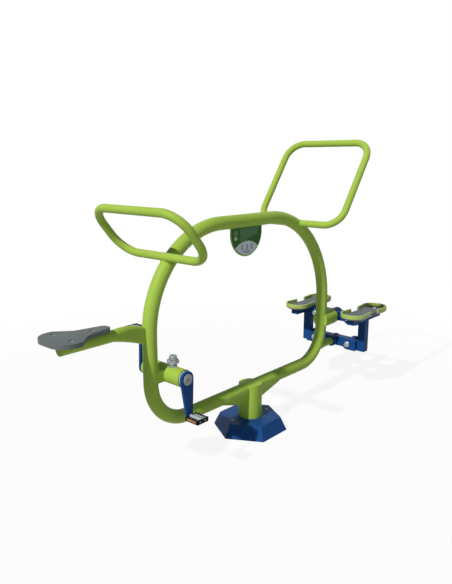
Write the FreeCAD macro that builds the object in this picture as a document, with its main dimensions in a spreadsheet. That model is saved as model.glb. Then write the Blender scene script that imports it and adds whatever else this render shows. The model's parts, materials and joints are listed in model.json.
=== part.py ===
import FreeCAD, Part
import math
import os
import Sketcher

# Outdoor bike and stepper station, in millimetres.
# The origin is the centre of the base on the ground, +Z is up, the seat is at -X and the stepper at +X.
# The near side, with the camera, is -Y.

doc = FreeCAD.newDocument("station")
sheet = doc.addObject("Spreadsheet::Sheet", "sizes")

ROWS = [
    # closed loop of tube
    ("ring_left", -596), ("ring_right", 580), ("ring_low", 198), ("ring_high", 963),
    ("ring_bend_low", 175), ("ring_bend_seat", 187), ("ring_bend_left", 390), ("ring_bend_right", 450),
    ("ring_dia", 57), ("ring_wall", 4), ("ring_split", 490),
    # post, saddles, base plate and cover
    ("post_dia", 108), ("post_wall", 5), ("post_top", 217), ("post_lid", 6),
    ("saddle_end", 180), ("saddle_wall", 3.5), ("saddle_keel", 12), ("saddle_drop", 80),
    ("saddle_top", 15), ("saddle_lip", 3),
    ("plate_rad", 135), ("plate_thick", 12),
    ("anchor_circle", 200), ("anchor_hole", 18),
    ("cover_low", 172), ("cover_top", 142), ("cover_tall", 60), ("cover_wall", 3),
    ("cover_gap", 0.1), ("cover_seam", 0.5), ("screw_reach", 100), ("screw_side", 20), ("screw_rad", 2.5),
    # hand loops
    ("bar_dia", 32), ("bar_wall", 3),
    ("bike_angle", 136.6), ("bike_lift", 31), ("bike_tilt", -39.4), ("bike_half", 239),
    ("bike_reach", 117), ("bike_bend", 90),
    ("step_angle", 63.1), ("step_lift", 10), ("step_tilt", 35.2), ("step_half", 231),
    ("step_reach", 227), ("step_bend", 85),
    # sign under the top tube
    ("sign_mid", -37), ("sign_half", 103), ("sign_waist", 103.5), ("sign_side", 30), ("sign_tall", 126),
    ("sign_thick", 4),
    # seat
    ("seat_axis", 611), ("seat_dia", 42), ("seat_wall", 3.2), ("seat_back", 381), ("horn_reach", 169),
    ("horn_wide", 9), ("horn_tall", 33), ("horn_drop", 44), ("horn_bend", 87), ("horn_mid_wide", 14),
    ("horn_mid_tall", 31.5), ("horn_mid_drop", 11.5), ("pad_thick", 16), ("pad_rear", 434),
    ("pad_half", 89), ("pad_deep", 80), ("pad_waist", 297), ("pad_neck", 41), ("pad_tip", 186),
    ("pad_nose", 20), ("bolt_rear", 368), ("bolt_side", 52), ("bolt_front", 249), ("bolt_rad", 4),
    ("bracket_thick", 5), ("plug_thick", 4), ("tee_rear", 28), ("tee_deep", 58), ("tee_tip", 22),
    ("tee_edge", 13), ("tee_stem", 15), ("bolt_play", 0.5), ("shank_gap", 0.2),
    # crank
    ("crank_out", 76), ("crank_up", 410), ("crank_reach", 150), ("crank_lean", 4),
    ("housing_dia", 70), ("housing_wall", 6), ("housing_half", 105), ("axle_rad", 12.5),
    ("seal_thick", 4), ("arm_gap", 2), ("arm_thick", 12), ("arm_big", 32), ("arm_small", 16),
    ("cap_rad", 22), ("cap_thick", 4), ("bearing_wide", 16), ("running", 0.05),
    ("spindle_rad", 7), ("spindle_out", 60), ("pedal_gap", 2), ("pedal_wide", 66),
    ("pedal_deep", 58), ("pedal_tall", 19), ("web_tall", 44), ("seal_inset", 3), ("dimple_deep", 1),
    ("bore_end", 0.6), ("lens_deep", 2), ("lens_proud", 1),
    # resistance screw
    ("brake_side", 44), ("boss_rad", 16), ("boss_tall", 50), ("nut_rad", 24.5), ("nut_tall", 12),
    ("knob_rad", 15.5), ("knob_tall", 17), ("knob_gap", 0.3), ("stem_rad", 5), ("stem_gap", 0.5),
    # stepper
    ("pivot_up", 400), ("pivot_low", 261), ("pin_span", 102), ("hub_front", 101), ("hub_back", 165),
    ("rocker_mid", 143),
    ("hub_up_rad", 37), ("hub_low_rad", 30), ("stub_up_rad", 41.5), ("stub_low_rad", 19),
    ("stub_gap", 3), ("stub_back", 9), ("axle_up_rad", 15), ("axle_low_rad", 10), ("bush_thick", 4),
    ("axle_seat", 16), ("head_gap", 1), ("head_thick", 8), ("pin_head", 9),
    ("beam_tall", 50), ("beam_wide", 40), ("eye_rad", 24), ("eye_wide", 72), ("pin_rad", 8),
    ("cheek_thick", 8), ("cheek_gap", 1), ("cheek_rad", 28),
    ("foot_side", 171), ("foot_box", 40), ("foot_front", 122), ("foot_low", 231), ("foot_wall", 3),
    ("bar_under", 399), ("bar_tall", 30), ("bar_long", 280),
    ("tray_lobe", 65), ("tray_apart", 106.5), ("tray_waist", 57), ("tray_floor", 5), ("tray_rim", 24),
    ("tray_wall", 8), ("tray_slot", 70), ("tray_skew", 9), ("tray_slip", -1.5), ("tray_chamfer", 8),
    ("mat_thick", 7), ("mat_play", 0.5),
]
for number, (alias, value) in enumerate(ROWS, start=1):
    sheet.set("A%d" % number, alias.replace("_", " "))
    sheet.set("B%d" % number, str(value))
    sheet.setAlias("B%d" % number, alias)
doc.recompute()


class Size:
    """A number together with the sheet formula that it comes from."""

    def __init__(self, formula, number):
        self.formula = formula
        self.number = float(number)

    def __add__(self, other):
        other = as_size(other)
        return Size("(%s + %s)" % (self.formula, other.formula), self.number + other.number)

    def __sub__(self, other):
        other = as_size(other)
        return Size("(%s - %s)" % (self.formula, other.formula), self.number - other.number)

    def __mul__(self, other):
        other = as_size(other)
        return Size("(%s * %s)" % (self.formula, other.formula), self.number * other.number)

    def __truediv__(self, other):
        other = as_size(other)
        return Size("(%s / %s)" % (self.formula, other.formula), self.number / other.number)

    def __neg__(self):
        return Size("(0 - %s)" % self.formula, -self.number)

    __radd__ = __add__
    __rmul__ = __mul__

    def __rsub__(self, other):
        return as_size(other) - self


def as_size(value):
    if isinstance(value, Size):
        return value
    return Size("(%r)" % float(value), value)


def cosine(angle):
    return Size("cos(%s * 1 deg)" % angle.formula, math.cos(math.radians(angle.number)))


def sine(angle):
    return Size("sin(%s * 1 deg)" % angle.formula, math.sin(math.radians(angle.number)))


def root(value):
    return Size("sqrt(%s)" % value.formula, math.sqrt(value.number))


class Sizes:
    """Reads the sheet, one word for each size."""


size = Sizes()
for alias, value in ROWS:
    setattr(size, alias, Size("sizes.%s" % alias, sheet.get(alias)))

pieces = []
AXES = {
    "X": FreeCAD.Rotation(FreeCAD.Vector(0, 1, 0), 90),
    "Y": FreeCAD.Rotation(FreeCAD.Vector(1, 0, 0), -90),
    "Z": FreeCAD.Rotation(),
}


def bind(thing, name, value):
    thing.setExpression(name, as_size(value).formula)


def place(thing, where, rotation=None):
    if rotation is not None:
        thing.Placement = FreeCAD.Placement(FreeCAD.Vector(), rotation)
    for letter, value in zip("xyz", where):
        bind(thing, "Placement.Base." + letter, value)


def keep(thing, label):
    """Names a finished piece; the label is its file name."""
    thing.Label = label
    pieces.append(thing)
    return thing


def cylinder(name, axis, radius, where, length):
    thing = doc.addObject("Part::Cylinder", name)
    bind(thing, "Radius", radius)
    bind(thing, "Height", length)
    place(thing, where, AXES[axis])
    return thing


def box(name, low, spans):
    thing = doc.addObject("Part::Box", name)
    for word, value in zip(("Length", "Width", "Height"), spans):
        bind(thing, word, value)
    place(thing, low)
    return thing


def cut(name, base, *tools):
    for tool in tools:
        result = doc.addObject("Part::Cut", name)
        result.Base = base
        result.Tool = tool
        base = result
    return base


def fuse(name, *shapes):
    result = doc.addObject("Part::MultiFuse", name)
    result.Shapes = list(shapes)
    result.Refine = True
    return result


def mirror(name, source):
    """The same piece on the other side of the middle plane."""
    result = doc.addObject("Part::Mirroring", name)
    result.Source = source
    result.Normal = FreeCAD.Vector(0, 1, 0)
    return result


def new_body(name):
    return doc.addObject("PartDesign::Body", name)


def new_sketch(body, name, role, lift=None):
    sketch = body.newObject("Sketcher::SketchObject", name)
    plane = [feature for feature in body.Origin.OriginFeatures if feature.Role == role][0]
    sketch.AttachmentSupport = (plane, [""])
    sketch.MapMode = "FlatFace"
    if lift is not None:
        bind(sketch, "AttachmentOffset.Base.z", lift)
    return sketch


def tie(sketch, geometry, end, where):
    """Fixes one point of a sketch to a place given by the sheet."""
    for word, value in zip(("DistanceX", "DistanceY"), where):
        value = as_size(value)
        index = sketch.addConstraint(Sketcher.Constraint(word, -1, 1, geometry, end, value.number))
        sketch.setExpression("Constraints[%d]" % index, value.formula)


def set_radius(sketch, geometry, radius):
    radius = as_size(radius)
    index = sketch.addConstraint(Sketcher.Constraint("Radius", geometry, radius.number))
    sketch.setExpression("Constraints[%d]" % index, radius.formula)


def spot(where):
    return FreeCAD.Vector(as_size(where[0]).number, as_size(where[1]).number, 0)


def draw_circle(sketch, centre, radius):
    shape = Part.Circle(spot(centre), FreeCAD.Vector(0, 0, 1), as_size(radius).number)
    index = sketch.addGeometry(shape, False)
    tie(sketch, index, 3, centre)
    set_radius(sketch, index, radius)


def draw_line(sketch, start, finish):
    index = sketch.addGeometry(Part.LineSegment(spot(start), spot(finish)), False)
    tie(sketch, index, 1, start)
    tie(sketch, index, 2, finish)
    return index


def draw_arc(sketch, centre, radius, start, finish):
    """An arc that turns left from start to finish; its ends are joined to other lines by the caller."""
    middle = spot(centre)
    first = spot(start) - middle
    last = spot(finish) - middle
    circle = Part.Circle(middle, FreeCAD.Vector(0, 0, 1), as_size(radius).number)
    low = math.atan2(first.y, first.x)
    high = math.atan2(last.y, last.x)
    if high < low:
        high = high + 2 * math.pi
    index = sketch.addGeometry(Part.ArcOfCircle(circle, low, high), False)
    if abs((last - first).Length - 2 * circle.Radius) > 0.001:
        set_radius(sketch, index, radius)
    else:
        # a half circle on a level chord is held by the height of its centre
        level = as_size(centre[1])
        number = sketch.addConstraint(Sketcher.Constraint("DistanceY", -1, 1, index, 3, level.number))
        sketch.setExpression("Constraints[%d]" % number, level.formula)
    return index


def join(sketch, first, first_end, second, second_end):
    sketch.addConstraint(Sketcher.Constraint("Coincident", first, first_end, second, second_end))


def draw_polygon(sketch, corners):
    lines = []
    for index, corner in enumerate(corners):
        following = corners[(index + 1) % len(corners)]
        line = sketch.addGeometry(Part.LineSegment(spot(corner), spot(following)), False)
        tie(sketch, line, 1, corner)
        lines.append(line)
    for index, line in enumerate(lines):
        join(sketch, line, 2, lines[(index + 1) % len(lines)], 1)


def draw_outline(sketch, steps):
    """A closed outline; a step is (start, None) for a line, (start, (centre, radius, left)) for an arc."""
    ends = []
    for index, (start, bend) in enumerate(steps):
        finish = steps[(index + 1) % len(steps)][0]
        if bend is None:
            line = sketch.addGeometry(Part.LineSegment(spot(start), spot(finish)), False)
            ends.append((line, 1, 2))
        elif bend[2]:
            ends.append((draw_arc(sketch, bend[0], bend[1], start, finish), 1, 2))
        else:
            ends.append((draw_arc(sketch, bend[0], bend[1], finish, start), 2, 1))
    for index, (geometry, first, last) in enumerate(ends):
        following = ends[(index + 1) % len(ends)]
        tie(sketch, geometry, first, steps[index][0])
        join(sketch, geometry, last, following[0], following[1])


def draw_path(sketch, corners):
    """Straight runs along the sketch axes with round bends; a corner is (x, y, bend radius)."""
    spans = []
    for start, finish in zip(corners, corners[1:]):
        step = spot(finish) - spot(start)
        spans.append((round(step.x / step.Length), round(step.y / step.Length)))
    lines = []
    for index, (way_x, way_y) in enumerate(spans):
        first = corners[index]
        last = corners[index + 1]
        start = (first[0] + way_x * first[2], first[1] + way_y * first[2])
        finish = (last[0] - way_x * last[2], last[1] - way_y * last[2])
        lines.append((draw_line(sketch, start, finish), start, finish))
    for index in range(1, len(spans)):
        corner = corners[index]
        before = spans[index - 1]
        after = spans[index]
        bend = corner[2]
        if bend.number == 0:
            continue
        centre = (corner[0] + (after[0] - before[0]) * bend, corner[1] + (after[1] - before[1]) * bend)
        start = lines[index - 1][2]
        finish = lines[index][1]
        if before[0] * after[1] - before[1] * after[0] > 0:
            arc = draw_arc(sketch, centre, bend, start, finish)
            join(sketch, lines[index - 1][0], 2, arc, 1)
            join(sketch, lines[index][0], 1, arc, 2)
        else:
            arc = draw_arc(sketch, centre, bend, finish, start)
            join(sketch, lines[index - 1][0], 2, arc, 2)
            join(sketch, lines[index][0], 1, arc, 1)


def pad(body, sketch, length, name, middle=False, down=False):
    feature = body.newObject("PartDesign::Pad", name)
    feature.Profile = sketch
    bind(feature, "Length", length)
    feature.Midplane = middle
    feature.Reversed = down
    return feature


def pocket(body, sketch, length, name, up=False, through=False):
    feature = body.newObject("PartDesign::Pocket", name)
    feature.Profile = sketch
    feature.Reversed = up
    if through:
        feature.Type = "ThroughAll"
    else:
        bind(feature, "Length", length)
    return feature


def sweep(name, corners, radius, start_role, start_at, lift, plane="XZ_Plane"):
    """A solid round bar bent along a path."""
    body = new_body(name)
    spine = new_sketch(body, name + "_spine", plane)
    draw_path(spine, corners)
    profile = new_sketch(body, name + "_profile", start_role, lift)
    draw_circle(profile, start_at, radius)
    pipe = body.newObject("PartDesign::AdditivePipe", name + "_pipe")
    pipe.Profile = profile
    pipe.Spine = spine
    return body


NONE = as_size(0)

# Closed loop of tube, parted at both uprights into an upper and a lower bend
ring_rad = size.ring_dia / 2
ring_core = ring_rad - size.ring_wall
ring_path = [
    (NONE, size.ring_low, NONE),
    (size.ring_right, size.ring_low, size.ring_bend_low),
    (size.ring_right, size.ring_high, size.ring_bend_right),
    (size.ring_left, size.ring_high, size.ring_bend_left),
    (size.ring_left, size.ring_low, size.ring_bend_seat),
    (NONE, size.ring_low, NONE),
]
ring_start = (0, size.ring_low)
ring_solid = sweep("ring_solid", ring_path, ring_rad, "YZ_Plane", ring_start, None)
ring_hollow = sweep("ring_hollow", ring_path, ring_core, "YZ_Plane", ring_start, None)
ring_tube = cut("ring_tube", ring_solid, ring_hollow)
ring_span = size.ring_right - size.ring_left + size.ring_dia * 2
above = box("above", (size.ring_left - size.ring_dia, -size.ring_dia, size.ring_split),
            (ring_span, size.ring_dia * 2, size.ring_high))
arch = doc.addObject("Part::Common", "arch")
arch.Base = ring_tube
arch.Tool = above
keep(arch, "frame_arch")
keep(cut("lower", ring_tube, above), "frame_lower")

# Base plate with its anchor holes
plate = new_body("plate")
plate_round = new_sketch(plate, "plate_round", "XY_Plane")
draw_circle(plate_round, (0, 0), size.plate_rad)
pad(plate, plate_round, size.plate_thick, "plate_pad")
anchor = new_sketch(plate, "anchor", "XY_Plane")
anchor_at = size.anchor_circle / 2 * math.sqrt(0.5)
draw_circle(anchor, (anchor_at, anchor_at), size.anchor_hole / 2)
doc.recompute()
anchor_cut = pocket(plate, anchor, None, "anchor_cut", up=True, through=True)
doc.recompute()
anchors = plate.newObject("PartDesign::PolarPattern", "anchors")
anchors.Originals = [anchor_cut]
upright = [feature for feature in plate.Origin.OriginFeatures if feature.Role == "Z_Axis"][0]
anchors.Axis = (upright, [""])
anchors.Angle = 360
anchors.Occurrences = 4
plate.Tip = anchors
keep(plate, "base_plate")

# Post, closed at the top and notched for the lower tube
post_rad = size.post_dia / 2
post_tall = size.post_top - size.plate_thick
post_solid = cylinder("post_solid", "Z", post_rad, (0, 0, size.plate_thick), post_tall)
post_hollow = cylinder("post_hollow", "Z", post_rad - size.post_wall, (0, 0, size.plate_thick),
                       post_tall - size.post_lid)
keep(cut("post", post_solid, post_hollow, ring_solid), "base_post")


def saddle_wing(name, side):
    """One saddle: a deep keel at the post drawn up to a close fit round the lower tube, which it wraps."""
    body = new_body(name)
    half = ring_rad + size.saddle_wall
    top = size.ring_low + size.saddle_top
    chord = root(half * half - size.saddle_top * size.saddle_top)
    wrap = ((0, size.ring_low), half, True)
    sections = []
    for word, along, keel, level in (
        ("root", size.post_dia * 0.35, size.saddle_keel, size.ring_low - size.saddle_drop + size.saddle_keel),
        ("tip", size.saddle_end, half, size.ring_low - size.saddle_lip),
    ):
        sketch = new_sketch(body, "%s_%s" % (name, word), "YZ_Plane", along * side)
        draw_outline(sketch, [
            ((chord, top), None),
            ((-chord, top), wrap),
            ((-half, size.ring_low), None),
            ((-keel, level), ((0, level), keel, True)),
            ((keel, level), None),
            ((half, size.ring_low), wrap),
        ])
        sections.append(sketch)
    loft = body.newObject("PartDesign::AdditiveLoft", name + "_loft")
    loft.Profile = sections[0]
    loft.Sections = sections[1:]
    loft.Ruled = True
    return cut(name + "_coped", body, post_solid, ring_solid)


keep(saddle_wing("wing_left", -1), "saddle_left")
keep(saddle_wing("wing_right", 1), "saddle_right")


def hexagon(radius):
    half = radius * 0.5
    tall = radius * math.sqrt(0.75)
    return [(radius, 0), (half, tall), (-half, tall), (-radius, 0), (-half, -tall), (half, -tall)]


def cover_half(name, turn):
    """Half of the six-sided cover, with a lap tab that reaches under the other half."""
    body = new_body(name)
    inside = size.cover_wall * 1.12
    outer_low = new_sketch(body, name + "_low", "XY_Plane")
    draw_polygon(outer_low, hexagon(size.cover_low))
    outer_top = new_sketch(body, name + "_top", "XY_Plane", size.cover_tall)
    draw_polygon(outer_top, hexagon(size.cover_top))
    shell = body.newObject("PartDesign::AdditiveLoft", name + "_shell")
    shell.Profile = outer_low
    shell.Sections = [outer_top]
    inner_low = new_sketch(body, name + "_inner_low", "XY_Plane")
    draw_polygon(inner_low, hexagon(size.cover_low - inside))
    inner_top = new_sketch(body, name + "_inner_top", "XY_Plane", size.cover_tall - size.cover_wall)
    draw_polygon(inner_top, hexagon(size.cover_top - inside))
    hollow = body.newObject("PartDesign::SubtractiveLoft", name + "_hollow")
    hollow.Profile = inner_low
    hollow.Sections = [inner_top]
    neck = new_sketch(body, name + "_neck", "XY_Plane")
    draw_circle(neck, (0, 0), post_rad + size.cover_gap)
    doc.recompute()
    pocket(body, neck, None, name + "_neck_cut", up=True, through=True)
    split = new_sketch(body, name + "_split", "XY_Plane")
    reach = size.cover_low * 1.1
    seam = size.cover_seam / 2
    draw_polygon(split, [(-reach, -reach), (reach, -reach), (reach, seam), (-reach, seam)])
    doc.recompute()
    pocket(body, split, None, name + "_split_cut", up=True, through=True)
    tab = new_sketch(body, name + "_tab", "XY_Plane", size.cover_tall - size.cover_wall)
    low = size.screw_reach - size.screw_side
    high = size.screw_reach + size.screw_side
    side = size.screw_side * 1.7
    draw_polygon(tab, [(low, -side), (high, -side), (high, side), (low, side)])
    doc.recompute()
    pad(body, tab, size.cover_wall, name + "_tab_pad", down=True)
    doc.recompute()
    holes = new_sketch(body, name + "_holes", "XY_Plane")
    draw_circle(holes, (-size.screw_reach, size.screw_side), size.screw_rad)
    draw_circle(holes, (size.screw_reach, -size.screw_side), size.screw_rad)
    pocket(body, holes, None, name + "_holes_cut", up=True, through=True)
    body.Placement = FreeCAD.Placement(FreeCAD.Vector(), FreeCAD.Rotation(FreeCAD.Vector(0, 0, 1), turn))
    return body


keep(cover_half("half_far", 0), "cover_far")
keep(cover_half("half_near", 180), "cover_near")
for number, way in ((1, -1), (2, 1)):
    at = (size.screw_reach * way, size.screw_side * -way)
    head = cylinder("screw_head", "Z", size.screw_rad * 2, at + (size.cover_tall,), size.screw_rad)
    shank_low = size.cover_tall - size.cover_wall * 2
    shank = cylinder("screw_shank", "Z", size.screw_rad, at + (shank_low,), size.cover_wall * 2)
    keep(fuse("screw", head, shank), "cover_screw_%d" % number)


def hand_loop(name, centre_x, centre_z, tilt, half, reach, bend, ring_part):
    """A closed hand loop of bent tube, coped where its lower bar meets the arch."""
    shapes = []
    for word, radius in (("outside", size.bar_dia / 2), ("inside", size.bar_dia / 2 - size.bar_wall)):
        path = [
            (NONE, reach, NONE), (half, reach, bend), (half, -reach, bend),
            (-half, -reach, bend), (-half, reach, bend), (NONE, reach, NONE),
        ]
        body = sweep("%s_%s" % (name, word), path, radius, "XZ_Plane", (0, reach), None, "YZ_Plane")
        place(body, (centre_x, 0, centre_z), FreeCAD.Rotation(FreeCAD.Vector(0, 1, 0), tilt.number))
        bind(body, "Placement.Rotation.Angle", tilt)
        shapes.append(body)
    return cut(name, shapes[0], shapes[1], ring_part)


# Hand loops: the lower bar sits at an angle on each upper bend of the arch
bike_far = size.ring_bend_left + size.bike_lift
bike_x = size.ring_left + size.ring_bend_left + bike_far * cosine(size.bike_angle)
bike_z = size.ring_high - size.ring_bend_left + bike_far * sine(size.bike_angle)
bike_x = bike_x + size.bike_reach * sine(size.bike_tilt)
bike_z = bike_z + size.bike_reach * cosine(size.bike_tilt)
keep(hand_loop("loop_bike", bike_x, bike_z, size.bike_tilt, size.bike_half, size.bike_reach,
               size.bike_bend, ring_solid), "handlebar_bike")
step_far = size.ring_bend_right + size.step_lift
step_x = size.ring_right - size.ring_bend_right + step_far * cosine(size.step_angle)
step_z = size.ring_high - size.ring_bend_right + step_far * sine(size.step_angle)
step_x = step_x + size.step_reach * sine(size.step_tilt)
step_z = step_z + size.step_reach * cosine(size.step_tilt)
keep(hand_loop("loop_step", step_x, step_z, size.step_tilt, size.step_half, size.step_reach,
               size.step_bend, ring_solid), "handlebar_step")

# Sign plate hung under the top tube
sign = new_body("sign")
sign_face = new_sketch(sign, "sign_face", "XZ_Plane")
sign_high = size.ring_high
sign_bend = sign_high - ring_rad - size.sign_side
sign_sag = size.sign_tall - size.sign_side
sign_round = (size.sign_waist * size.sign_waist + sign_sag * sign_sag) / (sign_sag * 2)
sign_centre = (size.sign_mid, sign_bend - sign_sag + sign_round)
draw_outline(sign_face, [
    ((size.sign_mid + size.sign_half, sign_high), None),
    ((size.sign_mid - size.sign_half, sign_high), None),
    ((size.sign_mid - size.sign_waist, sign_bend), (sign_centre, sign_round, True)),
    ((size.sign_mid + size.sign_waist, sign_bend), None),
])
pad(sign, sign_face, size.sign_thick, "sign_pad", middle=True)
keep(cut("sign_coped", sign, ring_solid), "sign_plate")

# Seat tube, its deep horn on the upright, and the rear plug
seat_rad = size.seat_dia / 2
seat_end = size.ring_left - size.seat_back
horn_at = size.ring_left - size.horn_reach
seat_long = horn_at - seat_end
seat_outer = cylinder("seat_outer", "X", seat_rad, (seat_end, 0, size.seat_axis), seat_long)
seat_inner = cylinder("seat_inner", "X", seat_rad - size.seat_wall, (seat_end, 0, size.seat_axis), seat_long)
keep(cut("seat_pipe", seat_outer, seat_inner), "seat_tube")
seat_plug = cylinder("seat_plug", "X", seat_rad, (seat_end - size.plug_thick, 0, size.seat_axis),
                     size.plug_thick)
keep(seat_plug, "seat_cap")


def draw_oblong(sketch, height, radius, stretch):
    """Two half circles, one above the other, joined by upright sides."""
    draw_outline(sketch, [
        ((radius, height + stretch), ((0, height + stretch), radius, True)),
        ((-radius, height + stretch), None),
        ((-radius, height - stretch), ((0, height - stretch), radius, True)),
        ((radius, height - stretch), None),
    ])


horn = new_body("horn")
horn_stations = (
    ("start", horn_at, NONE, seat_rad, seat_rad * 1.02),
    ("bend", size.ring_left - size.horn_bend, size.horn_mid_drop, size.horn_mid_wide, size.horn_mid_tall),
    ("end", size.ring_left, size.horn_drop, size.horn_wide, size.horn_tall),
)
for word, wall in (("outer", NONE), ("inner", size.seat_wall)):
    sections = []
    for station, along, drop, wide, tall in horn_stations:
        sketch = new_sketch(horn, "horn_%s_%s" % (word, station), "YZ_Plane", along)
        draw_oblong(sketch, size.seat_axis - drop, wide - wall, tall - wide)
        sections.append(sketch)
    kind = "PartDesign::AdditiveLoft" if word == "outer" else "PartDesign::SubtractiveLoft"
    loft = horn.newObject(kind, "horn_" + word)
    loft.Profile = sections[0]
    loft.Sections = sections[1:]
    doc.recompute()
keep(cut("horn_coped", horn, ring_solid), "seat_horn")

# Seat bracket, a tee of plate laid on the tube
seat_under = size.seat_axis + seat_rad + size.bracket_thick * 0.6
tee = new_body("tee")
tee_face = new_sketch(tee, "tee_face", "XY_Plane", seat_under)
tee_back = size.ring_left - size.bolt_rear - size.tee_rear
tee_neck = tee_back + size.tee_deep
tee_front = size.ring_left - size.bolt_front + size.tee_tip
tee_half = size.bolt_side + size.tee_edge
tee_stem = size.tee_stem
draw_polygon(tee_face, [
    (tee_back, -tee_half), (tee_neck, -tee_half), (tee_neck, -tee_stem), (tee_front, -tee_stem),
    (tee_front, tee_stem), (tee_neck, tee_stem), (tee_neck, tee_half), (tee_back, tee_half)])
pad(tee, tee_face, size.bracket_thick, "tee_pad", down=True)
bolt_spots = [
    (size.ring_left - size.bolt_rear, -size.bolt_side),
    (size.ring_left - size.bolt_rear, size.bolt_side),
    (size.ring_left - size.bolt_front, NONE),
]
tee_holes = new_sketch(tee, "tee_holes", "XY_Plane")
for where in bolt_spots:
    draw_circle(tee_holes, where, size.bolt_rad)
doc.recompute()
pocket(tee, tee_holes, None, "tee_holes_cut", up=True, through=True)
keep(cut("tee_coped", tee, seat_outer, seat_plug), "seat_bracket")

# Seat pad: wide rounded rear, narrow nose, counterbored bolt holes
seat = new_body("seat")
seat_face = new_sketch(seat, "seat_face", "XY_Plane", seat_under)
pad_back = size.ring_left - size.pad_rear
pad_side = pad_back + size.pad_deep
pad_waist = size.ring_left - size.pad_waist
pad_front = size.ring_left - size.pad_tip
draw_polygon(seat_face, [
    (pad_back, -size.pad_half), (pad_side, -size.pad_half), (pad_waist, -size.pad_neck),
    (pad_front, -size.pad_nose), (pad_front, size.pad_nose), (pad_waist, size.pad_neck),
    (pad_side, size.pad_half), (pad_back, size.pad_half)])
pad(seat, seat_face, size.pad_thick, "seat_slab")
doc.recompute()


def upright_edges(shape, spots):
    """Names of the upright edges that stand at the given places."""
    names = []
    for index, edge in enumerate(shape.Edges, start=1):
        first = edge.Vertexes[0].Point
        last = edge.Vertexes[-1].Point
        if abs(first.x - last.x) > 0.01 or abs(first.y - last.y) > 0.01:
            continue
        for along, across in spots:
            if abs(first.x - along.number) < 0.5 and abs(abs(first.y) - across.number) < 0.5:
                names.append("Edge%d" % index)
    return names


for word, spots, radius in (
    ("rear", [(pad_back, size.pad_half)], size.pad_deep * 0.8),
    ("side", [(pad_side, size.pad_half)], size.pad_half * 0.22),
    ("waist", [(pad_waist, size.pad_neck)], size.pad_half * 0.5),
    ("nose", [(pad_front, size.pad_nose)], size.pad_half * 0.19),
):
    previous = seat.Tip
    rounding = seat.newObject("PartDesign::Fillet", "seat_" + word)
    rounding.Base = (previous, upright_edges(previous.Shape, spots))
    bind(rounding, "Radius", radius)
    seat.Tip = rounding
    doc.recompute()
seat_holes = new_sketch(seat, "seat_holes", "XY_Plane")
seat_bores = new_sketch(seat, "seat_bores", "XY_Plane", seat_under + size.pad_thick)
for where in bolt_spots:
    draw_circle(seat_holes, where, size.bolt_rad + size.bolt_play)
    draw_circle(seat_bores, where, size.bolt_rad * 2.6)
doc.recompute()
pocket(seat, seat_holes, None, "seat_holes_cut", up=True, through=True)
doc.recompute()
pocket(seat, seat_bores, size.pad_thick * 0.5, "seat_bores_cut")
keep(seat, "seat_pad")
for number, where in enumerate(bolt_spots, start=1):
    head_low = seat_under + size.pad_thick * 0.5
    shank_low = size.seat_axis + seat_rad + size.shank_gap
    head = cylinder("seat_bolt_head", "Z", size.bolt_rad * 2.2, where + (head_low,), size.bolt_rad * 1.4)
    shank = cylinder("seat_bolt_shank", "Z", size.bolt_rad, where + (shank_low,), head_low - shank_low)
    keep(fuse("seat_bolt", head, shank), "seat_bolt_%d" % number)

# Crank housing on a web from the upright
crank_x = size.ring_left + size.crank_out
crank_z = size.crank_up
housing_rad = size.housing_dia / 2
housing_core = housing_rad - size.housing_wall
housing_from = (crank_x, -size.housing_half, crank_z)
housing_solid = cylinder("housing_solid", "Y", housing_rad, housing_from, size.housing_half * 2)
housing_hollow = cylinder("housing_hollow", "Y", housing_core, housing_from, size.housing_half * 2)
brake_at = (crank_x, -size.brake_side)
stem_hole = cylinder("stem_hole", "Z", size.stem_rad + size.running, brake_at + (crank_z,),
                     housing_rad + size.boss_tall)
keep(cut("housing", housing_solid, housing_hollow, stem_hole), "crank_housing")
web = box("web", (size.ring_left, -ring_rad, crank_z - size.web_tall / 2),
          (size.crank_out, ring_rad * 2, size.web_tall))
keep(cut("web_coped", web, ring_solid, housing_solid), "housing_bracket")


def ring_piece(name, axis, outer, inner, where, length):
    return cut(name, cylinder(name + "_outer", axis, outer, where, length),
               cylinder(name + "_inner", axis, inner, where, length))


crank_turns = {"near": -1, "far": 1}
arm_inner = size.housing_half + size.seal_thick + size.arm_gap
arm_outer = arm_inner + size.arm_thick
for side, way in crank_turns.items():
    bearing_mid = (size.housing_half - size.bearing_wide) * way
    bearing_from = (crank_x, bearing_mid - size.bearing_wide / 2, crank_z)
    keep(ring_piece("bearing", "Y", housing_core, size.axle_rad + size.running, bearing_from,
                    size.bearing_wide), "bearing_" + side)
    seal_mid = (size.housing_half + size.seal_thick / 2) * way
    seal_from = (crank_x, seal_mid - size.seal_thick / 2, crank_z)
    keep(ring_piece("seal", "Y", housing_rad - size.seal_inset, size.axle_rad + size.running, seal_from,
                    size.seal_thick), "seal_" + side)
keep(cylinder("crank_shaft", "Y", size.axle_rad, (crank_x, -arm_outer, crank_z), arm_outer * 2), "crank_axle")


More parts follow.
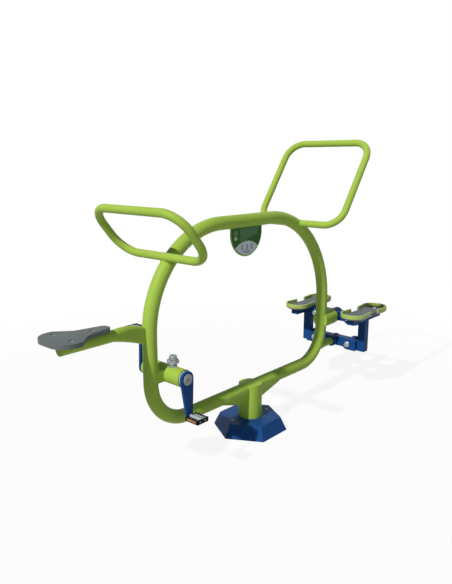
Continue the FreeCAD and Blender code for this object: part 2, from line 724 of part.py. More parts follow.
def crank_arm(name, side, way):
    """A tapered arm: two round ends joined by tangent sides, drawn hanging down and then turned."""
    body = new_body(name)
    sketch = new_sketch(body, name + "_face", "XZ_Plane")
    big = size.arm_big
    small = size.arm_small
    reach = size.crank_reach
    slope = (big - small) / reach
    flat = Size("sqrt(1 - %s * %s)" % (slope.formula, slope.formula), math.sqrt(1 - slope.number ** 2))
    left_high = (-big * flat, -big * slope)
    right_high = (big * flat, -big * slope)
    left_low = (-small * flat, -reach - small * slope)
    right_low = (small * flat, -reach - small * slope)
    draw_outline(sketch, [
        (right_high, ((0, 0), big, True)),
        (left_high, None),
        (left_low, ((0, -reach), small, True)),
        (right_low, None),
    ])
    pad(body, sketch, size.arm_thick, name + "_pad", middle=True)
    doc.recompute()
    eyes = new_sketch(body, name + "_eyes", "XZ_Plane", size.arm_thick)
    draw_circle(eyes, (0, 0), size.axle_rad)
    draw_circle(eyes, (0, -reach), size.spindle_rad)
    pocket(body, eyes, None, name + "_eyes_cut", through=True)
    middle = (arm_inner + size.arm_thick / 2) * way
    turn = -size.crank_lean if side == "near" else 180 - size.crank_lean
    place(body, (crank_x, middle, crank_z), FreeCAD.Rotation(FreeCAD.Vector(0, 1, 0), turn.number))
    bind(body, "Placement.Rotation.Angle", turn)
    return body


for side, way in crank_turns.items():
    keep(crank_arm("arm_" + side, side, way), "crank_arm_" + side)
    cap_mid = (arm_outer + size.cap_thick / 2) * way
    cap_from = (crank_x, cap_mid - size.cap_thick / 2, crank_z)
    cap = cylinder("cap", "Y", size.cap_rad, cap_from, size.cap_thick)
    dimple_from = (crank_x, (arm_outer + size.cap_thick) * way - size.dimple_deep, crank_z)
    dimple = cylinder("cap_dimple", "Y", size.cap_rad * 0.15, dimple_from, size.dimple_deep * 2)
    keep(cut("cap_cut", cap, dimple), "crank_cap_" + side)
    # pedal spindle, in the lower eye of the arm
    pedal_x = crank_x - sine(size.crank_lean) * size.crank_reach * way
    pedal_z = crank_z + cosine(size.crank_lean) * size.crank_reach * way
    spindle_mid = (arm_inner + (size.arm_thick + size.spindle_out) / 2) * way
    spindle_long = size.arm_thick + size.spindle_out
    keep(cylinder("spindle", "Y", size.spindle_rad, (pedal_x, spindle_mid - spindle_long / 2, pedal_z),
                  spindle_long), "pedal_spindle_" + side)
    # pedal body with a blind bore for the spindle and two open bays
    pedal_mid = (arm_outer + size.pedal_gap + size.pedal_wide / 2) * way
    pedal_low = pedal_mid - size.pedal_wide / 2
    slab = box("pedal_slab", (pedal_x - size.pedal_deep / 2, pedal_low, pedal_z - size.pedal_tall / 2),
               (size.pedal_deep, size.pedal_wide, size.pedal_tall))
    bore = cylinder("pedal_bore", "Y", size.spindle_rad + size.running,
                    (pedal_x, spindle_mid - spindle_long / 2, pedal_z), spindle_long + size.bore_end)
    bays = []
    for bay_way in (-1, 1):
        bay_mid = pedal_x + size.pedal_deep * 0.29 * bay_way
        bays.append(box("pedal_bay", (bay_mid - size.pedal_deep * 0.12, pedal_low + size.pedal_wide * 0.12,
                                      pedal_z - size.pedal_tall),
                        (size.pedal_deep * 0.24, size.pedal_wide * 0.76, size.pedal_tall * 2)))
        bays.append(cylinder("pedal_port", "Y", size.pedal_tall * 0.31,
                             (bay_mid, pedal_mid - size.pedal_wide, pedal_z), size.pedal_wide * 2))
    lens_long = size.pedal_wide * 0.7
    lens_at = (pedal_x - size.pedal_deep / 2, pedal_mid - lens_long / 2, pedal_z - size.pedal_tall * 0.27)
    lens_seat = box("lens_seat", lens_at, (size.lens_deep, lens_long, size.pedal_tall * 0.54))
    keep(cut("pedal", slab, bore, lens_seat, *bays), "pedal_" + side)
    lens_from = (lens_at[0] - size.lens_proud, lens_at[1], lens_at[2])
    lens = box("lens", lens_from, (size.lens_deep + size.lens_proud, lens_long, size.pedal_tall * 0.54))
    keep(lens, "reflector_" + side)

# Resistance screw on top of the housing
boss_solid = cylinder("boss_solid", "Z", size.boss_rad, brake_at + (crank_z,), size.boss_tall)
keep(cut("boss", boss_solid, housing_solid, stem_hole), "brake_boss")
nut_low = crank_z + size.boss_tall
nut = new_body("nut")
nut_face = new_sketch(nut, "nut_face", "XY_Plane")
draw_polygon(nut_face, hexagon(size.nut_rad))
pad(nut, nut_face, size.nut_tall, "nut_pad")
doc.recompute()
nut_bore = new_sketch(nut, "nut_bore", "XY_Plane")
draw_circle(nut_bore, (0, 0), size.stem_rad + size.running)
pocket(nut, nut_bore, None, "nut_bore_cut", up=True, through=True)
place(nut, brake_at + (nut_low,))
keep(nut, "brake_locknut")
knob_low = nut_low + size.nut_tall + size.knob_gap
stem_low = crank_z + size.axle_rad + size.stem_gap
knob = cylinder("knob", "Z", size.knob_rad, brake_at + (knob_low,), size.knob_tall)
stem = cylinder("stem", "Z", size.stem_rad, brake_at + (stem_low,), knob_low - stem_low)
keep(fuse("knob_stem", knob, stem), "brake_knob")

# Stepper pivots: stubs coped on the right upright, with an axle in each
hub_from = size.ring_right + size.hub_front
hub_to = size.ring_right + size.hub_back
hub_long = hub_to - hub_from
stub_to = hub_from - size.stub_gap
middle = size.ring_right + size.rocker_mid
LEVELS = {
    "upper": (size.pivot_up, size.hub_up_rad, size.stub_up_rad, size.axle_up_rad,
              size.ring_right - size.stub_back),
    "lower": (size.pivot_low, size.hub_low_rad, size.stub_low_rad, size.axle_low_rad,
              size.ring_right - size.ring_bend_low * 0.2),
}
axle_from = size.ring_right + ring_rad + size.axle_seat
head_from = hub_to + size.head_gap
for level, (height, hub_rad, stub_rad, shaft_rad, stub_from) in LEVELS.items():
    stub = cylinder("stub", "X", stub_rad, (stub_from, 0, height), stub_to - stub_from)
    bore = cylinder("stub_bore", "X", shaft_rad, (axle_from, 0, height), stub_to - axle_from)
    keep(cut("stub_coped", stub, ring_solid, bore), "stub_" + level)
    shaft = cylinder("shaft", "X", shaft_rad, (axle_from, 0, height), head_from - axle_from)
    head = cylinder("shaft_head", "X", hub_rad * 0.8, (head_from, 0, height), size.head_thick)
    keep(fuse("shaft_headed", shaft, head), "axle_" + level)
    bush_rad = shaft_rad + size.bush_thick
    keep(ring_piece("bush", "X", bush_rad, shaft_rad + size.running, (hub_from, 0, height), hub_long),
         "bush_" + level)
    # rocker: hub, level beam and an eye at each end
    hub = cylinder("hub", "X", hub_rad, (hub_from, 0, height), hub_long)
    beam = box("beam", (middle - size.beam_wide / 2, -size.pin_span, height - size.beam_tall / 2),
               (size.beam_wide, size.pin_span * 2, size.beam_tall))
    solids = [hub, beam]
    holes = [cylinder("hub_bore", "X", bush_rad, (hub_from, 0, height), hub_long)]
    for way in (-1, 1):
        eye_from = (middle - size.eye_wide / 2, size.pin_span * way, height)
        solids.append(cylinder("eye", "X", size.eye_rad, eye_from, size.eye_wide))
        holes.append(cylinder("eye_bore", "X", size.pin_rad + size.running, eye_from, size.eye_wide))
    keep(cut("rocker", fuse("rocker_solid", *solids), *holes), "rocker_" + level)

# Foot frames: a post, a bar under the tray and a pair of cheeks round each rocker eye
foot_from = size.ring_right + size.foot_front
foot_half = size.foot_box / 2
inner_face = -size.foot_side + foot_half
post_low = (foot_from, -size.foot_side - foot_half, size.foot_low)
solids = [
    box("foot_post", post_low, (size.foot_box, size.foot_box, size.bar_under - size.foot_low)),
    box("foot_bar", (foot_from + foot_half - size.bar_long / 2, -size.foot_side - foot_half, size.bar_under),
        (size.bar_long, size.foot_box, size.bar_tall)),
]
core_low = (foot_from + size.foot_wall, -size.foot_side - foot_half + size.foot_wall, size.foot_low)
core_wide = size.foot_box - size.foot_wall * 2
core_tall = size.bar_under - size.foot_low - size.foot_wall
holes = [box("foot_core", core_low, (core_wide, core_wide, core_tall))]
cheek_in = size.eye_wide / 2 + size.cheek_gap
for height in (size.pivot_up, size.pivot_low):
    low = height - size.cheek_rad
    solids.append(box("foot_web", (middle - cheek_in - size.cheek_thick, inner_face, low),
                      ((cheek_in + size.cheek_thick) * 2, size.cheek_thick, size.cheek_rad * 2)))
    for cheek_from in (middle - cheek_in - size.cheek_thick, middle + cheek_in):
        solids.append(box("foot_cheek", (cheek_from, inner_face, low),
                          (size.cheek_thick, -size.pin_span - inner_face, size.cheek_rad * 2)))
        solids.append(cylinder("foot_cheek_end", "X", size.cheek_rad, (cheek_from, -size.pin_span, height),
                               size.cheek_thick))
    holes.append(cylinder("foot_pin_hole", "X", size.pin_rad,
                          (middle - cheek_in - size.cheek_thick, -size.pin_span, height),
                          (cheek_in + size.cheek_thick) * 2))
foot_near = keep(cut("foot", fuse("foot_solid", *solids), *holes), "foot_frame_near")
keep(mirror("foot_mirrored", foot_near), "foot_frame_far")
for level, height in (("upper", size.pivot_up), ("lower", size.pivot_low)):
    pin_from = middle - cheek_in - size.cheek_thick
    pin_long = (cheek_in + size.cheek_thick) * 2
    shank = cylinder("pin_shank", "X", size.pin_rad, (pin_from - size.pin_head / 2, -size.pin_span, height),
                     pin_long + size.pin_head)
    head = cylinder("pin_head", "X", size.pin_rad * 1.9, (pin_from - size.pin_head, -size.pin_span, height),
                    size.pin_head)
    nut_end = cylinder("pin_nut", "X", size.pin_rad * 1.6, (pin_from + pin_long, -size.pin_span, height),
                       size.pin_head)
    pin = keep(fuse("pin", shank, head, nut_end), "pin_%s_near" % level)
    keep(mirror("pin_mirrored", pin), "pin_%s_far" % level)


def draw_sole(sketch, inset):
    """Two round lobes joined by a slight waist, all inset by the same amount."""
    lobe = size.tray_lobe - inset
    waist = size.tray_waist - inset
    apart = size.tray_apart
    hollow = (apart * apart + waist * waist - lobe * lobe) / ((size.tray_lobe - size.tray_waist) * 2)
    share = apart / (lobe + hollow)
    rise = (waist + hollow) / (lobe + hollow)
    touch_x = apart - lobe * share
    touch_y = lobe * rise
    draw_outline(sketch, [
        ((touch_x, -touch_y), ((apart, 0), lobe, True)),
        ((touch_x, touch_y), ((0, waist + hollow), hollow, False)),
        ((-touch_x, touch_y), ((-apart, 0), lobe, True)),
        ((-touch_x, -touch_y), ((0, -waist - hollow), hollow, False)),
    ])


def bottom_edges(shape):
    """Names of the edges round the underside."""
    low = shape.BoundBox.ZMin
    return ["Edge%d" % index for index, edge in enumerate(shape.Edges, start=1)
            if edge.BoundBox.ZMax < low + 0.01]


# Foot trays and mats, the trays chamfered below and gapped at the waist
tray_at = (foot_from + foot_half + size.tray_slip, size.bar_under + size.bar_tall)
for side, way in crank_turns.items():
    tray = new_body("tray_" + side + "_body")
    tray_floor = new_sketch(tray, "floor_" + side, "XY_Plane")
    draw_sole(tray_floor, NONE)
    block = pad(tray, tray_floor, size.tray_floor + size.tray_rim, "tray_block_" + side)
    doc.recompute()
    under = tray.newObject("PartDesign::Chamfer", "tray_under_" + side)
    under.Base = (block, bottom_edges(block.Shape))
    bind(under, "Size", size.tray_chamfer)
    tray.Tip = under
    doc.recompute()
    tray_well = new_sketch(tray, "well_" + side, "XY_Plane", size.tray_floor + size.tray_rim)
    draw_sole(tray_well, size.tray_wall)
    pocket(tray, tray_well, size.tray_rim, "tray_well_" + side)
    doc.recompute()
    tray_slot = new_sketch(tray, "slot_" + side, "XY_Plane", size.tray_floor + size.tray_rim)
    half = size.tray_slot / 2
    reach = size.tray_lobe * 1.1
    skew = size.tray_skew
    draw_polygon(tray_slot, [(skew - half, -reach), (skew + half, -reach),
                             (half - skew, reach), (-half - skew, reach)])
    pocket(tray, tray_slot, size.tray_rim, "tray_slot_" + side)
    place(tray, (tray_at[0], size.foot_side * way, tray_at[1]))
    keep(tray, "tray_" + side)
    mat = new_body("mat_" + side + "_body")
    mat_face = new_sketch(mat, "mat_face_" + side, "XY_Plane")
    draw_sole(mat_face, size.tray_wall + size.mat_play)
    pad(mat, mat_face, size.mat_thick, "mat_pad_" + side)
    place(mat, (tray_at[0], size.foot_side * way, tray_at[1] + size.tray_floor))
    keep(mat, "mat_" + side)

doc.recompute()
os.makedirs("parts", exist_ok=True)
for thing in doc.Objects:
    if "Invalid" in thing.State or "Error" in thing.State:
        raise RuntimeError("%s did not build: %s" % (thing.Name, thing.State))
for piece in pieces:
    shape = piece.Shape
    if shape.isNull() or not shape.isValid():
        raise RuntimeError("%s has no valid shape" % piece.Label)
    if len(shape.Solids) != 1:
        raise RuntimeError("%s has %d solids" % (piece.Label, len(shape.Solids)))
    shape.Solids[0].exportStep("parts/%s.step" % piece.Label)
print("%d pieces" % len(pieces))
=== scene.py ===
import json
import math

import bmesh
import bpy
from mathutils import Matrix, Vector


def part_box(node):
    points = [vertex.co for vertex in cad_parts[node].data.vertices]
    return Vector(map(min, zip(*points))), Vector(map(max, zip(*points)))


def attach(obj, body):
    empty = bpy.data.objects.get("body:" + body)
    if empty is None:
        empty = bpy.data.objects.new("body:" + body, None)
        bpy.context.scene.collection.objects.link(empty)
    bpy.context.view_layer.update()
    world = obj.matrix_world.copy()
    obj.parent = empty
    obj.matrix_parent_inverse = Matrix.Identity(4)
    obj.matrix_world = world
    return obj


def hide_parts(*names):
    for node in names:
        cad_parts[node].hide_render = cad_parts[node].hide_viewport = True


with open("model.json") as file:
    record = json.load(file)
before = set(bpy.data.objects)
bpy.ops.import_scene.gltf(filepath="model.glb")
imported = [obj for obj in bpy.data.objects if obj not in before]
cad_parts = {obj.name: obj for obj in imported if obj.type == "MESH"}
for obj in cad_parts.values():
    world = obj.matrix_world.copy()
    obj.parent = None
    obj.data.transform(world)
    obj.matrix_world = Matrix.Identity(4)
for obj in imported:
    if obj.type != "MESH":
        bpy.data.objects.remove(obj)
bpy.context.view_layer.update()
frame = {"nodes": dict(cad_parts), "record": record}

# Outdoor bike and stepper station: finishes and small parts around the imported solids.
# Metres, +Z up, the seat is at -X, the stepper at +X and the near side at -Y.

NODES = frame["nodes"]
BODY_OF = {}
for body_name, members in frame["record"]["behaviour"]["bodies"].items():
    for member in members:
        BODY_OF[member] = body_name
SIDES = {"near": -1, "far": 1}
LEVELS = ("upper", "lower")


# Finishes


def srgb(red, green, blue):
    """A colour given as it looks on a screen, 0 to 255, as the shader wants it."""
    shades = []
    for value in (red, green, blue):
        value = value / 255
        shades.append(value / 12.92 if value <= 0.04045 else ((value + 0.055) / 1.055) ** 2.4)
    return (*shades, 1.0)


class Finish:
    """A procedural material while it is put together."""

    def __init__(self, name, metallic=0.0, specular=0.5):
        self.material = bpy.data.materials.new(name)
        self.material.use_nodes = True
        self.tree = self.material.node_tree
        self.shader = self.tree.nodes["Principled BSDF"]
        self.shader.inputs["Metallic"].default_value = metallic
        self.shader.inputs["Specular IOR Level"].default_value = specular
        self.place = self.add("ShaderNodeTexCoord").outputs["Object"]

    def add(self, kind, **settings):
        node = self.tree.nodes.new(kind)
        for name, value in settings.items():
            setattr(node, name, value)
        return node

    def link(self, source, socket):
        self.tree.links.new(source, socket)

    def stretched(self, scale):
        """The place on the surface, stretched by axis."""
        node = self.add("ShaderNodeMapping")
        node.inputs["Scale"].default_value = scale
        self.link(self.place, node.inputs["Vector"])
        return node.outputs["Vector"]

    def noise(self, scale, detail, place=None):
        node = self.add("ShaderNodeTexNoise")
        node.inputs["Scale"].default_value = scale
        node.inputs["Detail"].default_value = detail
        self.link(place or self.place, node.inputs["Vector"])
        return node.outputs["Fac"]

    def cells(self, scale, feature="F1"):
        node = self.add("ShaderNodeTexVoronoi", feature=feature)
        node.inputs["Scale"].default_value = scale
        self.link(self.place, node.inputs["Vector"])
        return node.outputs["Distance"]

    def spread(self, value, low, high, to_low, to_high):
        """Maps low..high to to_low..to_high, held at both ends."""
        node = self.add("ShaderNodeMapRange", clamp=True)
        for name, number in zip(("From Min", "From Max", "To Min", "To Max"), (low, high, to_low, to_high)):
            node.inputs[name].default_value = number
        self.link(value, node.inputs["Value"])
        return node.outputs["Result"]

    def patches(self, scale, detail, low=0.35, high=0.65):
        """Soft patches of tone, from 0 to 1."""
        return self.spread(self.noise(scale, detail), low, high, 0.0, 1.0)

    def times(self, first, second):
        node = self.add("ShaderNodeMath", operation="MULTIPLY")
        self.link(first, node.inputs[0])
        self.link(second, node.inputs[1])
        return node.outputs["Value"]

    def blend(self, factor, first, second):
        """Mixes two colours, each a value or an output."""
        node = self.add("ShaderNodeMix", data_type="RGBA")
        self.link(factor, node.inputs["Factor"])
        for socket, colour in ((node.inputs[6], first), (node.inputs[7], second)):
            if isinstance(colour, tuple):
                socket.default_value = colour
            else:
                self.link(colour, socket)
        return node.outputs[2]

    def height(self):
        node = self.add("ShaderNodeSeparateXYZ")
        self.link(self.place, node.inputs["Vector"])
        return node.outputs["Z"]

    def edges(self, reach):
        """1 along sharp edges and 0 elsewhere, within the given reach."""
        bevel = self.add("ShaderNodeBevel", samples=6)
        bevel.inputs["Radius"].default_value = reach
        plain = self.add("ShaderNodeNewGeometry").outputs["Normal"]
        dot = self.add("ShaderNodeVectorMath", operation="DOT_PRODUCT")
        self.link(bevel.outputs["Normal"], dot.inputs[0])
        self.link(plain, dot.inputs[1])
        return self.spread(dot.outputs["Value"], 0.995, 0.85, 0.0, 1.0)

    def set_colour(self, colour):
        self.link(colour, self.shader.inputs["Base Color"])

    def vary_roughness(self, scale, detail, low, high):
        """Roughness that drifts between two values over the surface."""
        value = self.spread(self.noise(scale, detail), 0.3, 0.7, low, high)
        self.link(value, self.shader.inputs["Roughness"])

    def set_bump(self, value, strength, distance):
        node = self.add("ShaderNodeBump")
        node.inputs["Strength"].default_value = strength
        node.inputs["Distance"].default_value = distance
        self.link(value, node.inputs["Height"])
        self.link(node.outputs["Normal"], self.shader.inputs["Normal"])


def powder_coat(name, colour, shade, worn, roughness, specular):
    """Sprayed paint: slow drift of tone, fine orange peel, and edges rubbed a little lighter."""
    finish = Finish(name, specular=specular)
    base = finish.blend(finish.patches(3.5, 4.0), shade, colour)
    rubbed = finish.spread(finish.noise(160, 5.0), 0.5, 0.62, 0.0, 0.55)
    wear = finish.times(finish.edges(0.0022), rubbed)
    finish.set_colour(finish.blend(wear, base, worn))
    finish.vary_roughness(45, 4.0, roughness - 0.06, roughness + 0.08)
    finish.set_bump(finish.noise(900, 2.0), 0.12, 0.0003)
    return finish.material


BRIGHT_EDGE = srgb(225, 230, 232)


def plated_steel(name, colour, dull, roughness, metallic=0.75):
    """Zinc plated steel: fine scratches, dull patches and a spangle of tone."""
    finish = Finish(name, metallic=metallic)
    spangle = finish.spread(finish.cells(220), 0.1, 0.7, 0.0, 1.0)
    base = finish.blend(spangle, colour, dull)
    finish.set_colour(finish.blend(finish.edges(0.0012), base, BRIGHT_EDGE))
    finish.vary_roughness(120, 5.0, roughness - 0.08, roughness + 0.1)
    finish.set_bump(finish.noise(500, 4.0, finish.stretched((1.0, 1.0, 6.0))), 0.1, 0.0003)
    return finish.material


def moulded_plastic(name, colour, shade, worn, roughness, grain, specular=0.4):
    """Moulded plastic or rubber: fine pebble grain, faint flow marks and paler edges."""
    finish = Finish(name, specular=specular)
    base = finish.blend(finish.patches(14, 5.0), shade, colour)
    finish.set_colour(finish.blend(finish.edges(0.0018), base, worn))
    finish.vary_roughness(80, 4.0, roughness - 0.07, roughness + 0.08)
    finish.set_bump(finish.cells(grain), 0.25, 0.0003)
    return finish.material


TRAY_RUBBED = srgb(205, 220, 150)
TRAY_LOW_GREY = srgb(118, 120, 112)
PAINT_FADE = 0.0008


def tray_coat(name, colour, shade, under, level):
    """Tray: green above a level, and darker greys below it, round the underside."""
    finish = Finish(name, specular=0.3)
    drift = finish.patches(9, 4.0)
    painted = finish.blend(drift, shade, colour)
    wear = finish.times(finish.edges(0.002), finish.noise(140, 4.0))
    painted = finish.blend(wear, painted, TRAY_RUBBED)
    # Below the level the colour turns to two darker greys in patches, round the underside.
    above = finish.spread(finish.height(), level - PAINT_FADE, level + PAINT_FADE, 0.0, 1.0)
    finish.set_colour(finish.blend(above, finish.blend(drift, under, TRAY_LOW_GREY), painted))
    finish.vary_roughness(60, 4.0, 0.36, 0.5)
    finish.set_bump(finish.noise(700, 3.0), 0.18, 0.0004)
    return finish.material


def clear_orange(name):
    """Moulded reflector: small cube corners behind a glossy orange face."""
    finish = Finish(name, specular=0.6)
    cell = finish.cells(420, "DISTANCE_TO_EDGE")
    glow = finish.spread(cell, 0.02, 0.35, 0.0, 1.0)
    finish.set_colour(finish.blend(glow, srgb(158, 100, 40), srgb(214, 156, 76)))
    finish.vary_roughness(90, 3.0, 0.12, 0.24)
    finish.set_bump(cell, 0.5, 0.0006)
    return finish.material


def print_ink(name, colour, shade, specular=0.1):
    """A printed film: even tone with faint mottling and a satin face."""
    finish = Finish(name, specular=specular)
    finish.set_colour(finish.blend(finish.patches(70, 5.0, 0.3, 0.7), shade, colour))
    finish.vary_roughness(30, 3.0, 0.3, 0.42)
    finish.set_bump(finish.noise(260, 3.0), 0.06, 0.0002)
    return finish.material


GREEN = powder_coat("green_paint", srgb(171, 203, 83), srgb(164, 196, 77), srgb(189, 213, 119), 0.42, 0.1)
BLUE = powder_coat("blue_paint", srgb(27, 77, 141), srgb(25, 72, 134), srgb(58, 104, 160), 0.42, 0.08)
STEEL = plated_steel("bare_steel", srgb(190, 198, 202), srgb(166, 175, 181), 0.4)
DULL_STEEL = plated_steel("dull_steel", srgb(150, 157, 162), srgb(136, 144, 150), 0.55, 0.35)
ZINC = plated_steel("grey_zinc", srgb(158, 167, 170), srgb(144, 153, 157), 0.55, 0.3)
BRONZE = plated_steel("bush_bronze", srgb(200, 160, 95), srgb(170, 130, 70), 0.35)
SEAT = moulded_plastic("seat_plastic", srgb(112, 118, 119), srgb(104, 110, 112),
                       srgb(132, 137, 138), 0.6, 900, 0.15)
SEAL = moulded_plastic("seal_plastic", srgb(196, 216, 218), srgb(180, 202, 206),
                       srgb(222, 232, 232), 0.4, 1200)
BLACK = moulded_plastic("pedal_plastic", srgb(18, 18, 19), srgb(12, 12, 13),
                        srgb(36, 36, 36), 0.55, 1100, 0.1)
TREAD = moulded_plastic("pedal_tread", srgb(188, 196, 199), srgb(172, 180, 184),
                        srgb(214, 219, 220), 0.5, 900, 0.3)
RUBBER = moulded_plastic("mat_rubber", srgb(116, 119, 125), srgb(105, 108, 114),
                         srgb(136, 139, 144), 0.75, 700, 0.15)
ORANGE = clear_orange("reflector_plastic")
TRAY_GREY = 0.0095
TRAY = tray_coat("tray_paint", srgb(178, 200, 110), srgb(170, 192, 102), srgb(104, 107, 100),
                 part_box("tray_near")[0].z + TRAY_GREY)
SIGN = powder_coat("sign_paint", srgb(146, 182, 64), srgb(136, 172, 58), srgb(170, 198, 104), 0.35, 0.2)
INK_DARK = print_ink("sign_panel", srgb(46, 108, 38), srgb(40, 98, 34))
INK_LINE = print_ink("sign_lines", srgb(112, 148, 112), srgb(102, 138, 102))
INK_RIM = print_ink("sign_rim", srgb(196, 216, 160), srgb(184, 206, 148))
INK_PALE = print_ink("sign_window", srgb(222, 230, 239), srgb(210, 220, 231), 0.4)
INK_GREY = print_ink("sign_marks", srgb(130, 146, 168), srgb(118, 135, 158))

PAINTED = {
    GREEN: ("frame_arch", "frame_lower", "base_plate", "base_post", "saddle_left", "saddle_right",
            "handlebar_bike", "handlebar_step", "seat_tube", "seat_cap", "seat_horn", "seat_bracket",
            "crank_housing", "housing_bracket", "stub_upper", "stub_lower"),
    BLUE: ("cover_near", "cover_far", "crank_arm_near", "crank_arm_far", "rocker_upper", "rocker_lower",
           "foot_frame_near", "foot_frame_far"),
    STEEL: ("cover_screw_1", "cover_screw_2", "seat_bolt_1", "seat_bolt_2", "seat_bolt_3", "bearing_near",
            "bearing_far", "crank_axle", "crank_cap_near", "crank_cap_far", "pedal_spindle_near",
            "pedal_spindle_far", "axle_upper", "axle_lower", "pin_upper_near", "pin_upper_far",
            "pin_lower_near", "pin_lower_far"),
    ZINC: ("brake_boss", "brake_locknut", "brake_knob"),
    BRONZE: ("bush_upper", "bush_lower"),
    SIGN: ("sign_plate",),
    SEAT: ("seat_pad",),
    SEAL: ("seal_near", "seal_far"),
    BLACK: ("pedal_near", "pedal_far"),
    ORANGE: ("reflector_near", "reflector_far"),
    TRAY: ("tray_near", "tray_far"),
    RUBBER: ("mat_near", "mat_far"),
}
FINISH_OF = {}
for paint, painted in PAINTED.items():
    for node in painted:
        FINISH_OF[node] = paint
        NODES[node].data.materials.clear()
        NODES[node].data.materials.append(paint)


# Mesh helpers

SHARP_ANGLE = math.radians(32)
FLAT_ANGLE = math.radians(0.6)
JOIN_GAP = 0.00001


def new_piece(name, shape, finish, body):
    """Makes an object of a finished mesh and lets it ride on a body."""
    bmesh.ops.recalc_face_normals(shape, faces=shape.faces)
    mesh = bpy.data.meshes.new(name)
    shape.to_mesh(mesh)
    shape.free()
    mesh.materials.append(finish)
    mesh.shade_smooth()
    mesh.set_sharp_from_angle(angle=SHARP_ANGLE)
    piece = bpy.data.objects.new(name, mesh)
    bpy.context.scene.collection.objects.link(piece)
    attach(piece, body)
    return piece


def round_edges(piece, width, segments=2):
    rounding = piece.modifiers.new("rounding", "BEVEL")
    rounding.width = width
    rounding.segments = segments
    rounding.limit_method = "ANGLE"
    rounding.angle_limit = SHARP_ANGLE
    rounding.use_clamp_overlap = True
    piece.modifiers.new("shading", "WEIGHTED_NORMAL").keep_sharp = True
    return piece


def aligned(centre, axis):
    """Local Z along the given direction, at the given place."""
    return Matrix.Translation(centre) @ Vector(axis).to_track_quat("Z", "Y").to_matrix().to_4x4()


def middle(node):
    low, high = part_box(node)
    return (low + high) / 2


def lathe(shape, place, rings, steps=48):
    """Revolves rings about the local Z axis; a ring is (radius, height, six sided), radius 0 is a pole."""
    loops = []
    for radius, height, six_sided in rings:
        loop = []
        for step in range(steps if radius else 1):
            angle = math.tau * step / steps
            reach = radius
            if six_sided:
                reach = radius * math.cos(math.pi / 6) / math.cos(angle % (math.pi / 3) - math.pi / 6)
            spot = Vector((reach * math.cos(angle), reach * math.sin(angle), height))
            loop.append(shape.verts.new(place @ spot))
        loops.append(loop)
    for first, second in zip(loops, loops[1:]):
        for step in range(steps):
            corners = [first[step % len(first)], first[(step + 1) % len(first)],
                       second[(step + 1) % len(second)], second[step % len(second)]]
            unique = list(dict.fromkeys(corners))
            if len(unique) > 2:
                shape.faces.new(unique)


def rounds(*pairs):
    """Rings that are all round, from (radius, height) pairs."""
    return [(radius, height, False) for radius, height in pairs]


def block(shape, low, high):
    """A box between two corners."""
    place = Matrix.Translation((Vector(low) + Vector(high)) / 2) @ Matrix.Diagonal(
        (*(Vector(high) - Vector(low)), 1.0))
    bmesh.ops.create_cube(shape, size=1.0, matrix=place)


def slab(shape, outline, spot_low, spot_high):
    """A flat outline made solid; the two functions place an outline point on each face."""
    low = [shape.verts.new(spot_low(point)) for point in outline]
    high = [shape.verts.new(spot_high(point)) for point in outline]
    shape.faces.new(low)
    shape.faces.new(high)
    for index in range(len(outline)):
        following = (index + 1) % len(outline)
        shape.faces.new((low[index], low[following], high[following], high[index]))


def rounded_copy(node, width, segments=2):
    """A copy of a solid with its sharp edges rounded, which stands for it."""
    shape = bmesh.new()
    shape.from_mesh(NODES[node].data)
    bmesh.ops.remove_doubles(shape, verts=shape.verts, dist=JOIN_GAP)
    bmesh.ops.dissolve_limit(shape, angle_limit=FLAT_ANGLE, verts=shape.verts, edges=shape.edges)
    piece = new_piece(node + ".rounded", shape, FINISH_OF[node], BODY_OF[node])
    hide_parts(node)
    return round_edges(piece, width, segments)


# Solids with rounded edges

COVER_ROUND = 0.0016
ARM_ROUND = 0.0025
FOOT_ROUND = 0.0022
TRAY_ROUND = 0.0018
ROCKER_ROUND = 0.002
SEAT_ROUND = 0.0032

for side in SIDES:
    rounded_copy("cover_" + side, COVER_ROUND)
    rounded_copy("crank_arm_" + side, ARM_ROUND, 3)
    rounded_copy("foot_frame_" + side, FOOT_ROUND)
    rounded_copy("tray_" + side, TRAY_ROUND)
for level in LEVELS:
    rounded_copy("rocker_" + level, ROCKER_ROUND)
rounded_copy("seat_pad", SEAT_ROUND, 3)


# Small parts


def stand_in(node, shape, finish):
    """A detailed piece in the place of a solid."""
    piece = new_piece(node + ".detail", shape, finish, BODY_OF[node])
    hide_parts(node)
    return piece


def add_on(name, node, shape, finish):
    """A small piece that rides with a solid."""
    return new_piece(name, shape, finish, BODY_OF[node])


def socket_head(radius, tall, socket):
    """Rings of a low round head with a six-sided socket."""
    outside = rounds((0, 0), (radius, 0), (radius, tall * 0.5), (radius * 0.95, tall * 0.82),
                     (radius * 0.82, tall), (socket * 1.15, tall))
    return outside + [(socket, tall * 0.94, True), (socket, tall * 0.35, True), (0, tall * 0.3, False)]


def hex_nut(radius, tall, bore):
    """Rings of a six-sided nut with chamfered corners and a blind bore."""
    return [
        (0, 0, False), (radius * 0.9, 0, False),
        (radius, tall * 0.14, True), (radius, tall * 0.86, True), (radius * 0.9, tall, False),
        (bore, tall, False), (bore, tall * 0.7, False), (0, tall * 0.7, False),
    ]


def inner_face(low, high, way):
    """The middle of a box's inner face, looking outward along Y."""
    centre = (low + high) / 2
    return aligned(Vector((centre.x, low.y if way > 0 else high.y, centre.z)), (0, way, 0))


PIN_HEAD = 0.009
PIN_SHANK = 0.008
PIN_WASHER = 0.0018
PIN_WASHER_RIM = 0.0013
PIN_HEAD_SHARE = 0.86
PIN_SOCKET_SHARE = 0.36
PIN_NUT_SHARE = 0.84
PIN_BORE_SHARE = 0.9


